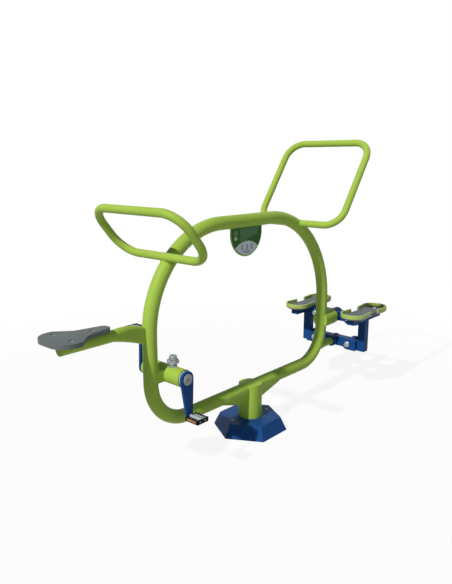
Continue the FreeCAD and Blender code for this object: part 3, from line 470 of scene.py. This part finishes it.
def make_pins():
    """Pivot bolts of the stepper: washer and socket head in front, nut behind."""
    for level in LEVELS:
        for side in SIDES:
            node = "pin_%s_%s" % (level, side)
            low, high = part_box(node)
            centre = middle(node)
            radius = (high.y - low.y) / 2
            front = Vector((low.x + PIN_HEAD, centre.y, centre.z))
            back = Vector((high.x - PIN_HEAD, centre.y, centre.z))
            length = back.x - front.x
            shape = bmesh.new()
            forward = aligned(front, (-1, 0, 0))
            lathe(shape, forward, rounds(
                (0, 0), (radius, 0), (radius, PIN_WASHER_RIM), (radius * 0.95, PIN_WASHER), (0, PIN_WASHER)))
            lathe(shape, forward @ Matrix.Translation((0, 0, PIN_WASHER)),
                  socket_head(radius * PIN_HEAD_SHARE, PIN_HEAD - PIN_WASHER, radius * PIN_SOCKET_SHARE))
            lathe(shape, aligned(front, (1, 0, 0)), rounds(
                (0, 0), (PIN_SHANK, 0), (PIN_SHANK, length), (0, length)))
            lathe(shape, aligned(back, (1, 0, 0)),
                  hex_nut(radius * PIN_NUT_SHARE, PIN_HEAD, PIN_SHANK * PIN_BORE_SHARE))
            stand_in(node, shape, STEEL)


CAP_SINK = 0.4
CAP_HOLE = 0.17
HOLE_SHADE_REACH = 0.16
HOLE_SHADE_TOP = 0.88


def make_crank_caps():
    """Discs that close the crank's ends: a turned edge, a low dome and a centre hole, with a black disc in
    the hole as painted shade.
    """
    for side, way in SIDES.items():
        node = "crank_cap_" + side
        low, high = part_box(node)
        radius = (high.x - low.x) / 2
        thick = high.y - low.y
        sunk = thick * CAP_SINK
        seat = inner_face(low, high, way)
        shape = bmesh.new()
        lathe(shape, seat, rounds(
            (0, 0), (radius, 0), (radius, thick * 0.5), (radius * 0.95, thick * 0.78),
            (radius * 0.6, thick * 0.92), (radius * 0.2, thick), (radius * CAP_HOLE, sunk), (0, sunk)))
        stand_in(node, shape, DULL_STEEL)
        # A black disc fills most of the centre hole: painted shade for the dark of the hole.
        shape = bmesh.new()
        reach = radius * HOLE_SHADE_REACH
        top = thick * HOLE_SHADE_TOP
        lathe(shape, seat, rounds(
            (0, sunk), (reach, sunk), (reach, thick * 0.8), (radius * 0.12, top), (0, top)), 24)
        add_on("crank_hole_shade_" + side, node, shape, BLACK)


SEAL_STEP = 0.0022
SEAL_PLAY = 0.0002
SEAL_CHAMFER = 0.0008


def make_seals():
    """Seal rings, stepped in from the housing's end so that its rim shows."""
    for side, way in SIDES.items():
        node = "seal_" + side
        low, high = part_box(node)
        outer = (high.x - low.x) / 2 - SEAL_STEP
        axle_low, axle_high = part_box("crank_axle")
        bore = (axle_high.x - axle_low.x) / 2 + SEAL_PLAY
        thick = high.y - low.y
        shape = bmesh.new()
        lathe(shape, inner_face(low, high, way), rounds(
            (bore, 0), (outer, 0), (outer, thick * 0.75), (outer - SEAL_CHAMFER, thick),
            (bore, thick), (bore, 0)))
        stand_in(node, shape, SEAL)


LOCKNUT_BORE = 0.42
STEM_SHARE = 0.315
KNOB_LIFT = 0.0004
KNOB_CHAMFER = 0.001
KNOB_SIDE = 0.0045
KNOB_SHOULDER = 0.0018
KNOB_SOCKET = 0.45
SOCKET_LIP = 0.0006
SOCKET_SIDE = 0.007
SOCKET_DEEP = 0.0075


def make_brake():
    """Resistance screw: chamfered locknut and a capped screw head with a socket."""
    low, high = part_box("brake_locknut")
    centre = middle("brake_locknut")
    tall = high.z - low.z
    radius = (high.x - low.x) / 2
    bore = radius * LOCKNUT_BORE
    shape = bmesh.new()
    lathe(shape, Matrix.Translation((centre.x, centre.y, low.z)), [
        (bore, 0, False), (radius * 0.92, 0, False),
        (radius, tall * 0.16, True), (radius, tall * 0.82, True), (radius * 0.9, tall, False),
        (bore, tall, False), (bore, 0, False)])
    stand_in("brake_locknut", shape, ZINC)
    low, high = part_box("brake_knob")
    centre = middle("brake_knob")
    radius = (high.x - low.x) / 2
    stem = radius * STEM_SHARE
    socket = radius * KNOB_SOCKET
    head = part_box("brake_locknut")[1].z + KNOB_LIFT - low.z
    tall = high.z - low.z
    outside = rounds(
        (0, 0), (stem, 0), (stem, head), (radius * 0.94, head), (radius, head + KNOB_CHAMFER),
        (radius, tall - KNOB_SIDE), (radius * 0.94, tall - KNOB_SHOULDER), (radius * 0.82, tall),
        (radius * 0.52, tall))
    inside = [(socket, tall - SOCKET_LIP, True), (socket, tall - SOCKET_SIDE, True),
              (0, tall - SOCKET_DEEP, False)]
    shape = bmesh.new()
    lathe(shape, Matrix.Translation((centre.x, centre.y, low.z)), outside + inside)
    stand_in("brake_knob", shape, ZINC)


SCREWS = ("seat_bolt_1", "seat_bolt_2", "seat_bolt_3", "cover_screw_1", "cover_screw_2")
SCREW_STEPS = 36
SCREW_SOCKET = 0.42
SCREW_TIP = 0.001
COVER_WASHER = 0.0016


def make_screws():
    """Seat bolts and cover screws with socket heads; the cover's have washers."""
    for node in SCREWS:
        low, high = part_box(node)
        centre = middle(node)
        radius = (high.x - low.x) / 2
        tall = min(radius * 0.55, (high.z - low.z) * 0.4)
        shape = bmesh.new()
        seat = Matrix.Translation((centre.x, centre.y, high.z - tall))
        lathe(shape, seat, socket_head(radius, tall, radius * SCREW_SOCKET), SCREW_STEPS)
        length = high.z - tall - low.z
        lathe(shape, Matrix.Translation((centre.x, centre.y, low.z)), rounds(
            (0, 0), (radius * 0.48, 0), (radius * 0.5, SCREW_TIP), (radius * 0.5, length), (0, length)),
            SCREW_STEPS)
        on_cover = node.startswith("cover")
        if on_cover:
            hole = radius * 0.6
            lathe(shape, seat, rounds(
                (hole, 0), (radius * 1.35, 0), (radius * 1.3, COVER_WASHER / 2),
                (radius * 0.95, COVER_WASHER), (hole, COVER_WASHER), (hole, 0)), SCREW_STEPS)
        stand_in(node, shape, DULL_STEEL if on_cover else STEEL)


BOTH = (-1, 1)
RAIL = 0.0065
RAIL_FOOT = 0.0012
TOOTH = 0.0044
TOOTH_HALF = 0.0036
TOOTH_INSET = 0.0006
TOOTH_OVERHANG = 0.0015
TOOTH_ROOT = 0.8
END_PLATE = 0.006
END_LIP = 0.0008
POSTS = (-0.9, 0.0, 0.9)
POST_HALF = 0.0028
SHOULDER = 0.001
PORT = 0.0052
PORT_RIM = PORT * 1.3
PORT_AT = 0.46
PORT_FLOOR = 0.001
BARREL = 0.0088
BARREL_END = 0.0086
BARREL_CHAMFER = 0.0006
TREADS = 4
TREAD_HALF = 0.36
TREAD_DEEP = 0.0028
TREAD_PROUD = 0.0004
STUD = 0.0024
STUD_SIDE = 0.0012
STUD_TOP = 0.0018
STUD_AT = 0.56
LENS_HALF = 0.0038
CAGE_ROUND = 0.0005
CORE_ROUND = 0.0002
LENS_ROUND = 0.0009


def make_pedal(side):
    """A cage pedal: toothed rails, an end plate with two round ports and a pale core with cross bars."""
    node = "pedal_" + side
    way = SIDES[side]
    low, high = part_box(node)
    centre = (low + high) / 2
    half = (high - low) / 2
    tall = half.z - TOOTH
    inner = centre.y - way * half.y
    outer = centre.y + way * half.y
    plate = outer - way * END_PLATE
    pitch = (high.y - low.y - 2 * END_PLATE) / TREADS
    cage = bmesh.new()
    core = bmesh.new()
    for end in BOTH:
        edge = centre.x + end * half.x
        block(cage, (edge, low.y, low.z + RAIL_FOOT), (edge - end * RAIL, high.y, centre.z + tall))
        for number in range(TREADS + 1):
            along = low.y + END_PLATE + number * pitch
            for face in BOTH:
                block(cage,
                      (edge - end * TOOTH_INSET, along - TOOTH_HALF, centre.z + face * tall * TOOTH_ROOT),
                      (edge - end * (RAIL + TOOTH_OVERHANG), along + TOOTH_HALF, centre.z + face * half.z))
        port = aligned(Vector((centre.x + end * half.x * PORT_AT, plate, centre.z)), (0, way, 0))
        lathe(cage, port, rounds(
            (PORT_RIM, 0), (PORT_RIM, END_PLATE), (PORT * 1.05, END_PLATE), (PORT, END_PLATE * 0.85),
            (PORT, 0), (PORT_RIM, 0)), 32)
        lathe(core, port, rounds(
            (0, PORT_FLOOR), (PORT, PORT_FLOOR), (PORT, END_PLATE * 0.7), (0, END_PLATE * 0.8)), 32)
    block(cage, (low.x, plate, centre.z - tall), (high.x, outer - way * END_PLATE * 0.5, centre.z + tall))
    for face in BOTH:
        block(cage, (low.x, outer, centre.z + face * (half.z - END_LIP)),
              (high.x, plate, centre.z + face * tall * TOOTH_ROOT))
    for post in POSTS:
        across = centre.x + post * half.x
        block(cage, (across - POST_HALF, outer, centre.z - tall),
              (across + POST_HALF, plate, centre.z + tall))
    block(cage, (low.x, inner, centre.z - tall - SHOULDER),
          (high.x, inner + way * END_PLATE, centre.z + tall + SHOULDER))
    round_edges(stand_in(node, cage, BLACK), CAGE_ROUND)
    span = half.y * 2 - END_PLATE
    lathe(core, aligned(Vector((centre.x, inner, centre.z)), (0, way, 0)), rounds(
        (0, 0), (BARREL_END, 0), (BARREL, BARREL_CHAMFER), (BARREL, span - BARREL_CHAMFER),
        (BARREL_END, span), (0, span)), 36)
    reach = half.x - RAIL * 0.9
    for number in range(TREADS):
        along = low.y + END_PLATE + (number + 0.5) * pitch
        for face in BOTH:
            block(core,
                  (centre.x - reach, along - pitch * TREAD_HALF, centre.z + face * (tall - TREAD_DEEP)),
                  (centre.x + reach, along + pitch * TREAD_HALF, centre.z + face * (tall + TREAD_PROUD)))
            for end in BOTH:
                stud = Vector((centre.x + end * half.x * STUD_AT, along, centre.z + face * tall))
                lathe(core, aligned(stud, (0, 0, face)), rounds(
                    (0, 0), (STUD, 0), (STUD, STUD_SIDE), (STUD * 0.75, STUD_TOP), (0, STUD_TOP)), 20)
    round_edges(add_on("pedal_core_" + side, node, core, TREAD), CORE_ROUND)
    lens = bmesh.new()
    low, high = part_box("reflector_" + side)
    level = (low.z + high.z) / 2
    block(lens, (low.x, low.y, level - LENS_HALF), (high.x, high.y, level + LENS_HALF))
    round_edges(stand_in("reflector_" + side, lens, ORANGE), LENS_ROUND)


RIB_PITCH = 0.0085
RIB_RADIUS = 0.0018
RIB_SINK = 0.45
RIB_INSET = 0.005
RIB_END = 0.0018
RIB_TIP = 0.0004
MAT_MARGIN = 0.02
MAT_BOLT_AT = 0.85
MAT_BOLT_SINK = 0.001
MAT_BOLT = ((0, 0), (0.0105, 0), (0.0105, 0.0016), (0.0098, 0.0022), (0.0076, 0.0022), (0.0074, 0.0048),
            (0.006, 0.006), (0.003, 0.0062), (0.0027, 0.004), (0, 0.004))


def mat_span(node, along):
    """The two sides of the mat at a place along X."""
    shape = bmesh.new()
    shape.from_mesh(NODES[node].data)
    everything = shape.verts[:] + shape.edges[:] + shape.faces[:]
    parted = bmesh.ops.bisect_plane(shape, geom=everything, plane_co=(along, 0, 0), plane_no=(1, 0, 0))
    sides = [item.co.y for item in parted["geom_cut"] if isinstance(item, bmesh.types.BMVert)]
    shape.free()
    return min(sides), max(sides)


def make_mat(side):
    """Ribbed rubber on the foot tray, and the bolt that holds it at the heel."""
    node = "mat_" + side
    low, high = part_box(node)
    ribs = bmesh.new()
    count = int((high.x - low.x - MAT_MARGIN) / RIB_PITCH)
    first = (low.x + high.x) / 2 - (count - 1) * RIB_PITCH / 2
    for number in range(count):
        along = first + number * RIB_PITCH
        left, right = mat_span(node, along)
        start = Vector((along, left + RIB_INSET, high.z - RIB_RADIUS * RIB_SINK))
        length = right - left - 2 * RIB_INSET
        lathe(ribs, aligned(start, (0, 1, 0)), rounds(
            (0, 0), (RIB_RADIUS * 0.7, RIB_TIP), (RIB_RADIUS, RIB_END), (RIB_RADIUS, length - RIB_END),
            (RIB_RADIUS * 0.7, length - RIB_TIP), (0, length)), 14)
    add_on("mat_ribs_" + side, node, ribs, RUBBER)
    bolt = bmesh.new()
    place = low.x + MAT_BOLT_AT * (high.x - low.x)
    left, right = mat_span(node, place)
    lathe(bolt, Matrix.Translation((place, (left + right) / 2, high.z - MAT_BOLT_SINK)),
          rounds(*MAT_BOLT), 36)
    add_on("mat_bolt_" + side, node, bolt, STEEL)


PLUG_DEEP = 0.004
PLUG_PROUD = 0.0012
PLUG_HALF = 0.0175
PLUG_LOW = 0.0275
PLUG_HIGH = 0.0025
PLUG_ROUND = 0.0012


def make_foot_plugs():
    """Painted end plates on the tray bars."""
    for side in SIDES:
        node = "foot_frame_" + side
        low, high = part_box(node)
        tray = middle("tray_" + side)
        shape = bmesh.new()
        for end, face in ((low.x, -1), (high.x, 1)):
            block(shape, (end - face * PLUG_DEEP, tray.y - PLUG_HALF, high.z - PLUG_LOW),
                  (end + face * PLUG_PROUD, tray.y + PLUG_HALF, high.z - PLUG_HIGH))
        piece = add_on("bar_plugs_" + side, node, shape, BLUE)
        round_edges(piece, PLUG_ROUND)


AXLE_WASHER = 0.0016
AXLE_WASHER_RIM = 0.0012
AXLE_HEX = 0.38
AXLE_HEX_SIDE = 0.0052
AXLE_HEX_RIM = 0.0062
AXLE_HEX_TOP = 0.0064


def make_axle_heads():
    """Hexagon bolts and washers at the back of the stepper's axles."""
    for level in LEVELS:
        node = "axle_" + level
        low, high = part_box(node)
        centre = middle(node)
        radius = (high.y - low.y) / 2
        washer = radius * 0.5
        corner = radius * AXLE_HEX
        shape = bmesh.new()
        back = aligned(Vector((high.x, centre.y, centre.z)), (1, 0, 0))
        lathe(shape, back, rounds(
            (0, 0), (washer, 0), (washer, AXLE_WASHER_RIM), (radius * 0.47, AXLE_WASHER), (0, AXLE_WASHER)))
        lathe(shape, back @ Matrix.Translation((0, 0, AXLE_WASHER)), [
            (0, 0, False), (corner, 0, True), (corner, AXLE_HEX_SIDE, True),
            (radius * 0.33, AXLE_HEX_RIM, False), (0, AXLE_HEX_TOP, False)])
        add_on("axle_bolt_" + level, node, shape, STEEL)


make_pins()
make_crank_caps()
make_seals()
make_brake()
make_screws()
for side in SIDES:
    make_pedal(side)
    make_mat(side)
make_foot_plugs()
make_axle_heads()


# Sign

SIGN_MID = -0.037
SIGN_ARC_AT = 0.9123
SIGN_ARC = 0.1038
SIGN_HALF = 0.1032
SIGN_TOP = 0.936
SIGN_SIDE_AT = 0.9045
SIGN_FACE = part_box("sign_plate")[1].y
PANEL_INSET = 0.0045
WINDOW_HALF = 0.0725
WINDOW_ARC = 0.0958
WINDOW_RISE = 0.0235
WINDOW_RIM = 0.0042
PRINT_SINK = 0.0003
PRINT_STEP = 0.0004


def sign_outline(inset, steps=36):
    """The sign's outline moved in by an inset, from the top right corner round the bottom to the left."""
    radius = SIGN_ARC - inset
    turn = math.asin((SIGN_SIDE_AT - SIGN_ARC_AT) / SIGN_ARC)
    outline = [(SIGN_HALF - inset, SIGN_TOP)]
    for step in range(steps + 1):
        angle = turn - (math.pi + 2 * turn) * step / steps
        outline.append((radius * math.cos(angle), SIGN_ARC_AT + radius * math.sin(angle)))
    outline.append((inset - SIGN_HALF, SIGN_TOP))
    return outline


def window_outline(grow, steps=24):
    """A lens between a lower arc along the sign's edge and a flatter upper arc."""
    outline = []
    half = WINDOW_HALF + grow
    low_radius = WINDOW_ARC + grow
    low_turn = math.asin(half / low_radius)
    for step in range(steps + 1):
        angle = -math.pi / 2 - low_turn + 2 * low_turn * step / steps
        outline.append((low_radius * math.cos(angle), SIGN_ARC_AT + low_radius * math.sin(angle)))
    corner = outline[-1][1]
    rise = WINDOW_RISE + grow
    high_radius = (half * half + rise * rise) / (2 * rise)
    high_turn = math.asin(half / high_radius)
    middle_at = corner + rise - high_radius
    for step in range(1, steps):
        angle = math.pi / 2 - high_turn + 2 * high_turn * step / steps
        outline.append((high_radius * math.cos(angle), middle_at + high_radius * math.sin(angle)))
    return outline


def disc_outline(x, z, radius, points=28):
    return [(x + radius * math.cos(math.tau * step / points), z + radius * math.sin(math.tau * step / points))
            for step in range(points)]


def bar_outline(x, z, wide, tall):
    return [(x, z), (x + wide, z), (x + wide, z + tall), (x, z + tall)]


def make_print(name, outlines, layer, finish):
    """Printed shapes on both faces of the sign, each layer a little proud of the one below."""
    shape = bmesh.new()
    for way in (-1, 1):
        inside = way * (SIGN_FACE - PRINT_SINK)
        outside = way * (SIGN_FACE + PRINT_STEP * layer)
        for outline in outlines:
            slab(shape, outline,
                 lambda point, at=inside, turn=way: Vector((SIGN_MID - turn * point[0], at, point[1])),
                 lambda point, at=outside, turn=way: Vector((SIGN_MID - turn * point[0], at, point[1])))
    return add_on("sign_" + name, "sign_plate", shape, finish)


LINES = [(0.126, 0.9260), (0.118, 0.9190), (0.126, 0.9120), (0.112, 0.9050), (0.124, 0.8980),
         (0.090, 0.8910), (0.058, 0.8840), (0.044, 0.8770)]
LINES_AT = -0.044
LINE_TALL = 0.0046
BADGE = (-0.072, 0.9110, 0.0135)
DOT = (-0.072, 0.8920, 0.0105)
COLUMNS = (-0.030, 0.002, 0.034)
MARK_DISC_AT = 0.8560
MARK_DISC = 0.0042
MARK_BAR_AT = 0.8380
MARK_WIDE = 0.007
MARK_TALL = 0.0125
ROWS = ((0.8300, 0.050), (0.8235, 0.034))
ROW_TALL = 0.003

make_print("panel", [sign_outline(PANEL_INSET)], 1, INK_DARK)
make_print("window_rim", [window_outline(WINDOW_RIM)], 2, INK_RIM)
make_print("window", [window_outline(0.0)], 3, INK_PALE)
make_print("lines", [bar_outline(LINES_AT, height, wide, LINE_TALL) for wide, height in LINES], 2, INK_LINE)
make_print("badge", [disc_outline(*BADGE)], 2, INK_LINE)
make_print("dot", [disc_outline(*DOT)], 2, INK_RIM)
MARKS = []
for column in COLUMNS:
    MARKS.append(disc_outline(column, MARK_DISC_AT, MARK_DISC, 16))
    MARKS.append(bar_outline(column - MARK_WIDE / 2, MARK_BAR_AT, MARK_WIDE, MARK_TALL))
for row, wide in ROWS:
    MARKS.append(bar_outline(-wide / 2, row, wide, ROW_TALL))
make_print("marks", MARKS, 4, INK_GREY)


# Welds

RING = {"left": -0.596, "right": 0.580, "low": 0.198, "high": 0.963}
RING_BENDS = (("left", "low", 0.187), ("right", "low", 0.175),
              ("left", "high", 0.390), ("right", "high", 0.450))
RING_RADIUS = 0.0285


def ring_gap(point):
    """Distance from a point to the centre line of the closed loop."""
    best = None
    flat = Vector((point.x, point.z))
    for across, up, bend in RING_BENDS:
        inward = Vector((1 if across == "left" else -1, 1 if up == "low" else -1))
        centre = Vector((RING[across] + inward.x * bend, RING[up] + inward.y * bend))
        offset = flat - centre
        if offset.x * inward.x <= 0 and offset.y * inward.y <= 0:
            best = abs(offset.length - bend)
    if best is None:
        best = min(abs(flat.x - RING["left"]), abs(flat.x - RING["right"]),
                   abs(flat.y - RING["low"]), abs(flat.y - RING["high"]))
    return math.hypot(best, point.y)


RIPPLE = 0.16
RIPPLE_STEP = 1.9


def bead(shape, points, radius, closed=True, steps=10):
    """A weld bead along a line of points, rippled like a row of set drops."""
    count = len(points)
    loops = []
    for index, point in enumerate(points):
        before = points[index - 1] if closed or index else points[0]
        after = points[(index + 1) % count] if closed or index < count - 1 else points[-1]
        turn = (after - before).to_track_quat("Z", "Y").to_matrix()
        swell = radius * (1.0 + RIPPLE * math.sin(index * RIPPLE_STEP))
        loop = []
        for step in range(steps):
            angle = math.tau * step / steps
            offset = Vector((swell * math.cos(angle), swell * math.sin(angle), 0))
            loop.append(shape.verts.new(point + turn @ offset))
        loops.append(loop)
    for index in range(count if closed else count - 1):
        first = loops[index]
        second = loops[(index + 1) % count]
        shift = min(range(steps), key=lambda move: (first[0].co - second[move].co).length)
        for step in range(steps):
            shape.faces.new((first[step], first[(step + 1) % steps], second[(step + 1 + shift) % steps],
                             second[(step + shift) % steps]))
    if not closed:
        shape.faces.new(loops[0])
        shape.faces.new(loops[-1])


HALVINGS = 30


def last_inside(low, high, inside):
    """The furthest value that still lies inside, found by halving."""
    for _ in range(HALVINGS):
        half_way = (low + high) / 2
        if inside(half_way):
            low = half_way
        else:
            high = half_way
    return low


def from_widest_gap(points):
    """The points of a ring, begun after its widest gap, and the width of that gap."""
    gaps = [(points[index] - points[index - 1]).length for index in range(len(points))]
    start = max(range(len(points)), key=lambda index: gaps[index])
    return points[start:] + points[:start], gaps[start]


SADDLE_TOP = 0.015
SADDLE_LIP = 0.003
SADDLE_BLEND = 0.022
SADDLE_SKIN = 0.0001
SADDLE_ROOT = 0.0005


def make_saddle_welds(steps=48):
    """Ground fillets that run each saddle's tip out along the lower tube."""
    for side, way in (("left", -1), ("right", 1)):
        node = "saddle_" + side
        low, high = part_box(node)
        tip = low.x if way < 0 else high.x
        radius = (high.y - low.y) / 2
        start = math.asin(SADDLE_TOP / radius)
        shape = bmesh.new()
        rings = []
        for step in range(steps + 1):
            angle = start - (math.pi + 2 * start) * step / steps
            drop = SADDLE_LIP if math.sin(angle) < 0 else 0.0
            across = Vector((0.0, math.cos(angle), math.sin(angle)))
            hub = Vector((0.0, 0.0, RING["low"]))
            rings.append([shape.verts.new(spot) for spot in (
                Vector((tip, 0, 0)) + hub + across * radius - Vector((0, 0, drop)),
                Vector((tip + way * SADDLE_BLEND, 0, 0)) + hub + across * (RING_RADIUS + SADDLE_SKIN),
                Vector((tip, 0, 0)) + hub + across * (RING_RADIUS - SADDLE_ROOT))])
        for first, second in zip(rings, rings[1:]):
            for corner in range(3):
                after = (corner + 1) % 3
                shape.faces.new((first[corner], first[after], second[after], second[corner]))
        shape.faces.new(rings[0])
        shape.faces.new(tuple(reversed(rings[-1])))
        add_on("saddle_weld_" + side, node, shape, GREEN)


BAR_WELDS = {"bike": (-0.512, 0.862), "step": (0.338, 0.923)}
BAR_RADIUS = 0.016
BAR_REACH = 0.1
BAR_BEAD = 0.0028
BAR_BREAK = 0.01


def bar_weld(centre, radius, count=64):
    """The lines where a bar along Y enters the loop's tube, one on each side."""
    lines = {-1: [], 1: []}
    for step in range(count):
        angle = math.tau * step / count
        spot = Vector((centre[0] + radius * math.cos(angle), 0.0, centre[1] + radius * math.sin(angle)))
        if ring_gap(spot) >= RING_RADIUS:
            continue
        reach = last_inside(0.0, BAR_REACH, lambda y: ring_gap(Vector((spot.x, y, spot.z))) < RING_RADIUS)
        for way in lines:
            lines[way].append(Vector((spot.x, way * reach, spot.z)))
    return lines


def make_bar_welds():
    """Beads where the lower bars of the hand loops meet the arch."""
    for name, centre in BAR_WELDS.items():
        shape = bmesh.new()
        for line in bar_weld(centre, BAR_RADIUS).values():
            ordered, gap = from_widest_gap(line)
            bead(shape, ordered, BAR_BEAD, closed=gap < BAR_BREAK)
        add_on("weld_" + name, "frame_arch", shape, GREEN)


STUB_SEARCH = (0.50, 0.70)
STUB_BEAD = 0.003
STUB_BREAK = 0.012


def make_stub_weld(steps=96):
    """Bead round the lower stub on the right upright."""
    low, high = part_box("stub_lower")
    radius = (high.z - low.z) / 2
    height = (high.z + low.z) / 2
    points = []
    for step in range(steps):
        angle = math.tau * step / steps
        y, z = radius * math.cos(angle), height + radius * math.sin(angle)
        if abs(y) >= RING_RADIUS * 0.995:
            continue
        x = last_inside(*STUB_SEARCH, lambda x: (
            ring_gap(Vector((x, y, z))) < RING_RADIUS or x < RING["right"]))
        points.append(Vector((x, y, z)))
    shape = bmesh.new()
    ordered, gap = from_widest_gap(points)
    line = []
    for point in ordered:
        if line and (point - line[-1]).length > STUB_BREAK:
            bead(shape, line, STUB_BEAD, closed=False)
            line = []
        line.append(point)
    bead(shape, line, STUB_BEAD, closed=gap < STUB_BREAK)
    add_on("weld_stub_lower", "frame_lower", shape, GREEN)


make_saddle_welds()
make_bar_welds()
make_stub_weld()


# Stage, light and camera

CAMERA_AT = Vector((-1.983, -1.623, 1.212))
CAMERA_AIM = Vector((0.7277, 0.6506, -0.2170))
FOCAL_PIXELS = 590.6
IMAGE_TALL = 584
SENSOR = 36.0


def make_camera():
    data = bpy.data.cameras.new("camera")
    data.sensor_fit = "VERTICAL"
    data.sensor_height = SENSOR
    data.lens = FOCAL_PIXELS / IMAGE_TALL * SENSOR
    camera = bpy.data.objects.new("camera", data)
    bpy.context.scene.collection.objects.link(camera)
    camera.location = CAMERA_AT
    camera.rotation_euler = CAMERA_AIM.to_track_quat("-Z", "Y").to_euler()
    bpy.context.scene.camera = camera


def seen_directly(tree):
    """1 for rays from the camera and for mirrored or refracted ones, 0 for the light that is scattered."""
    path = tree.nodes.new("ShaderNodeLightPath")
    value = path.outputs["Is Camera Ray"]
    for name in ("Is Glossy Ray", "Is Transmission Ray"):
        larger = tree.nodes.new("ShaderNodeMath")
        larger.operation = "MAXIMUM"
        tree.links.new(value, larger.inputs[0])
        tree.links.new(path.outputs[name], larger.inputs[1])
        value = larger.outputs["Value"]
    return value


def map_range(tree, value, low, high, to_low, to_high):
    node = tree.nodes.new("ShaderNodeMapRange")
    for name, number in zip(("From Min", "From Max", "To Min", "To Max"), (low, high, to_low, to_high)):
        node.inputs[name].default_value = number
    tree.links.new(value, node.inputs["Value"])
    return node.outputs["Result"]


AMBIENT = 0.1
AMBIENT_TONE = (0.8, 1.0, 1.06, 1.0)


def make_world():
    """A surround that is seen as white and lights the object softly."""
    world = bpy.data.worlds.new("surround")
    bpy.context.scene.world = world
    world.use_nodes = True
    tree = world.node_tree
    soft = tree.nodes["Background"]
    soft.inputs["Color"].default_value = AMBIENT_TONE
    soft.inputs["Strength"].default_value = AMBIENT
    white = tree.nodes.new("ShaderNodeBackground")
    white.inputs["Color"].default_value = (1.0, 1.0, 1.0, 1.0)
    mixed = tree.nodes.new("ShaderNodeMixShader")
    tree.links.new(seen_directly(tree), mixed.inputs["Fac"])
    tree.links.new(soft.outputs["Background"], mixed.inputs[1])
    tree.links.new(white.outputs["Background"], mixed.inputs[2])
    tree.links.new(mixed.outputs["Shader"], tree.nodes["World Output"].inputs["Surface"])


FLOOR_HALF = 14.0
FLOOR_CELLS = 24
FLOOR_DROP = 0.0006
FLOOR_TONE = 0.5
SHADOW_SHARE = 0.1
SHADOW_NEAR = 1.3
SHADOW_FAR = 2.6


def make_floor():
    """A pale floor that keeps a soft shadow near the object and fades to white further out."""
    shape = bmesh.new()
    bmesh.ops.create_grid(shape, x_segments=FLOOR_CELLS, y_segments=FLOOR_CELLS, size=FLOOR_HALF)
    mesh = bpy.data.meshes.new("floor")
    shape.to_mesh(mesh)
    shape.free()
    floor = bpy.data.objects.new("floor", mesh)
    bpy.context.scene.collection.objects.link(floor)
    floor.location.z = -FLOOR_DROP
    material = bpy.data.materials.new("floor")
    material.use_nodes = True
    tree = material.node_tree
    tree.nodes.remove(tree.nodes["Principled BSDF"])
    pale = tree.nodes.new("ShaderNodeBsdfDiffuse")
    seen = seen_directly(tree)
    tree.links.new(map_range(tree, seen, 0.0, 1.0, FLOOR_TONE, 1.0), pale.inputs["Color"])
    white = tree.nodes.new("ShaderNodeEmission")
    white.inputs["Color"].default_value = (1.0, 1.0, 1.0, 1.0)
    place = tree.nodes.new("ShaderNodeTexCoord").outputs["Object"]
    reach = tree.nodes.new("ShaderNodeVectorMath")
    reach.operation = "LENGTH"
    tree.links.new(place, reach.inputs[0])
    whiten = map_range(tree, reach.outputs["Value"], SHADOW_NEAR, SHADOW_FAR, 1.0 - SHADOW_SHARE, 1.0)
    share = tree.nodes.new("ShaderNodeMath")
    share.operation = "MULTIPLY"
    tree.links.new(seen, share.inputs[0])
    tree.links.new(whiten, share.inputs[1])
    mixed = tree.nodes.new("ShaderNodeMixShader")
    tree.links.new(share.outputs["Value"], mixed.inputs["Fac"])
    tree.links.new(pale.outputs["BSDF"], mixed.inputs[1])
    tree.links.new(white.outputs["Emission"], mixed.inputs[2])
    tree.links.new(mixed.outputs["Shader"], tree.nodes["Material Output"].inputs["Surface"])
    mesh.materials.append(material)


KEY_RISE = math.radians(43)
KEY_SWING = 0.015
KEY_STRENGTH = 2.8
KEY_SPREAD = math.radians(1.5)
KEY_TONE = (1.0, 0.98, 0.94)
FILL_AT = Vector((-1.8, -3.7, 1.7))
FILL_AIM = Vector((0.0, 0.0, 0.55))
FILL_WIDE = 2.6
FILL_POWER = 16


def make_lights():
    """A key light from the seat end and a broad soft fill from the camera's side."""
    key = bpy.data.lights.new("key", "SUN")
    key.energy = KEY_STRENGTH
    key.angle = KEY_SPREAD
    lamp = bpy.data.objects.new("key", key)
    bpy.context.scene.collection.objects.link(lamp)
    key.color = KEY_TONE
    heading = Vector((math.cos(KEY_RISE), KEY_SWING, -math.sin(KEY_RISE)))
    lamp.rotation_euler = heading.to_track_quat("-Z", "Y").to_euler()
    fill = bpy.data.lights.new("fill", "AREA")
    fill.shape = "DISK"
    fill.size = FILL_WIDE
    fill.energy = FILL_POWER
    lamp = bpy.data.objects.new("fill", fill)
    bpy.context.scene.collection.objects.link(lamp)
    lamp.location = FILL_AT
    lamp.rotation_euler = (FILL_AIM - FILL_AT).to_track_quat("-Z", "Y").to_euler()


make_camera()
make_world()
make_floor()
make_lights()
bpy.context.scene.view_settings.view_transform = "Standard"
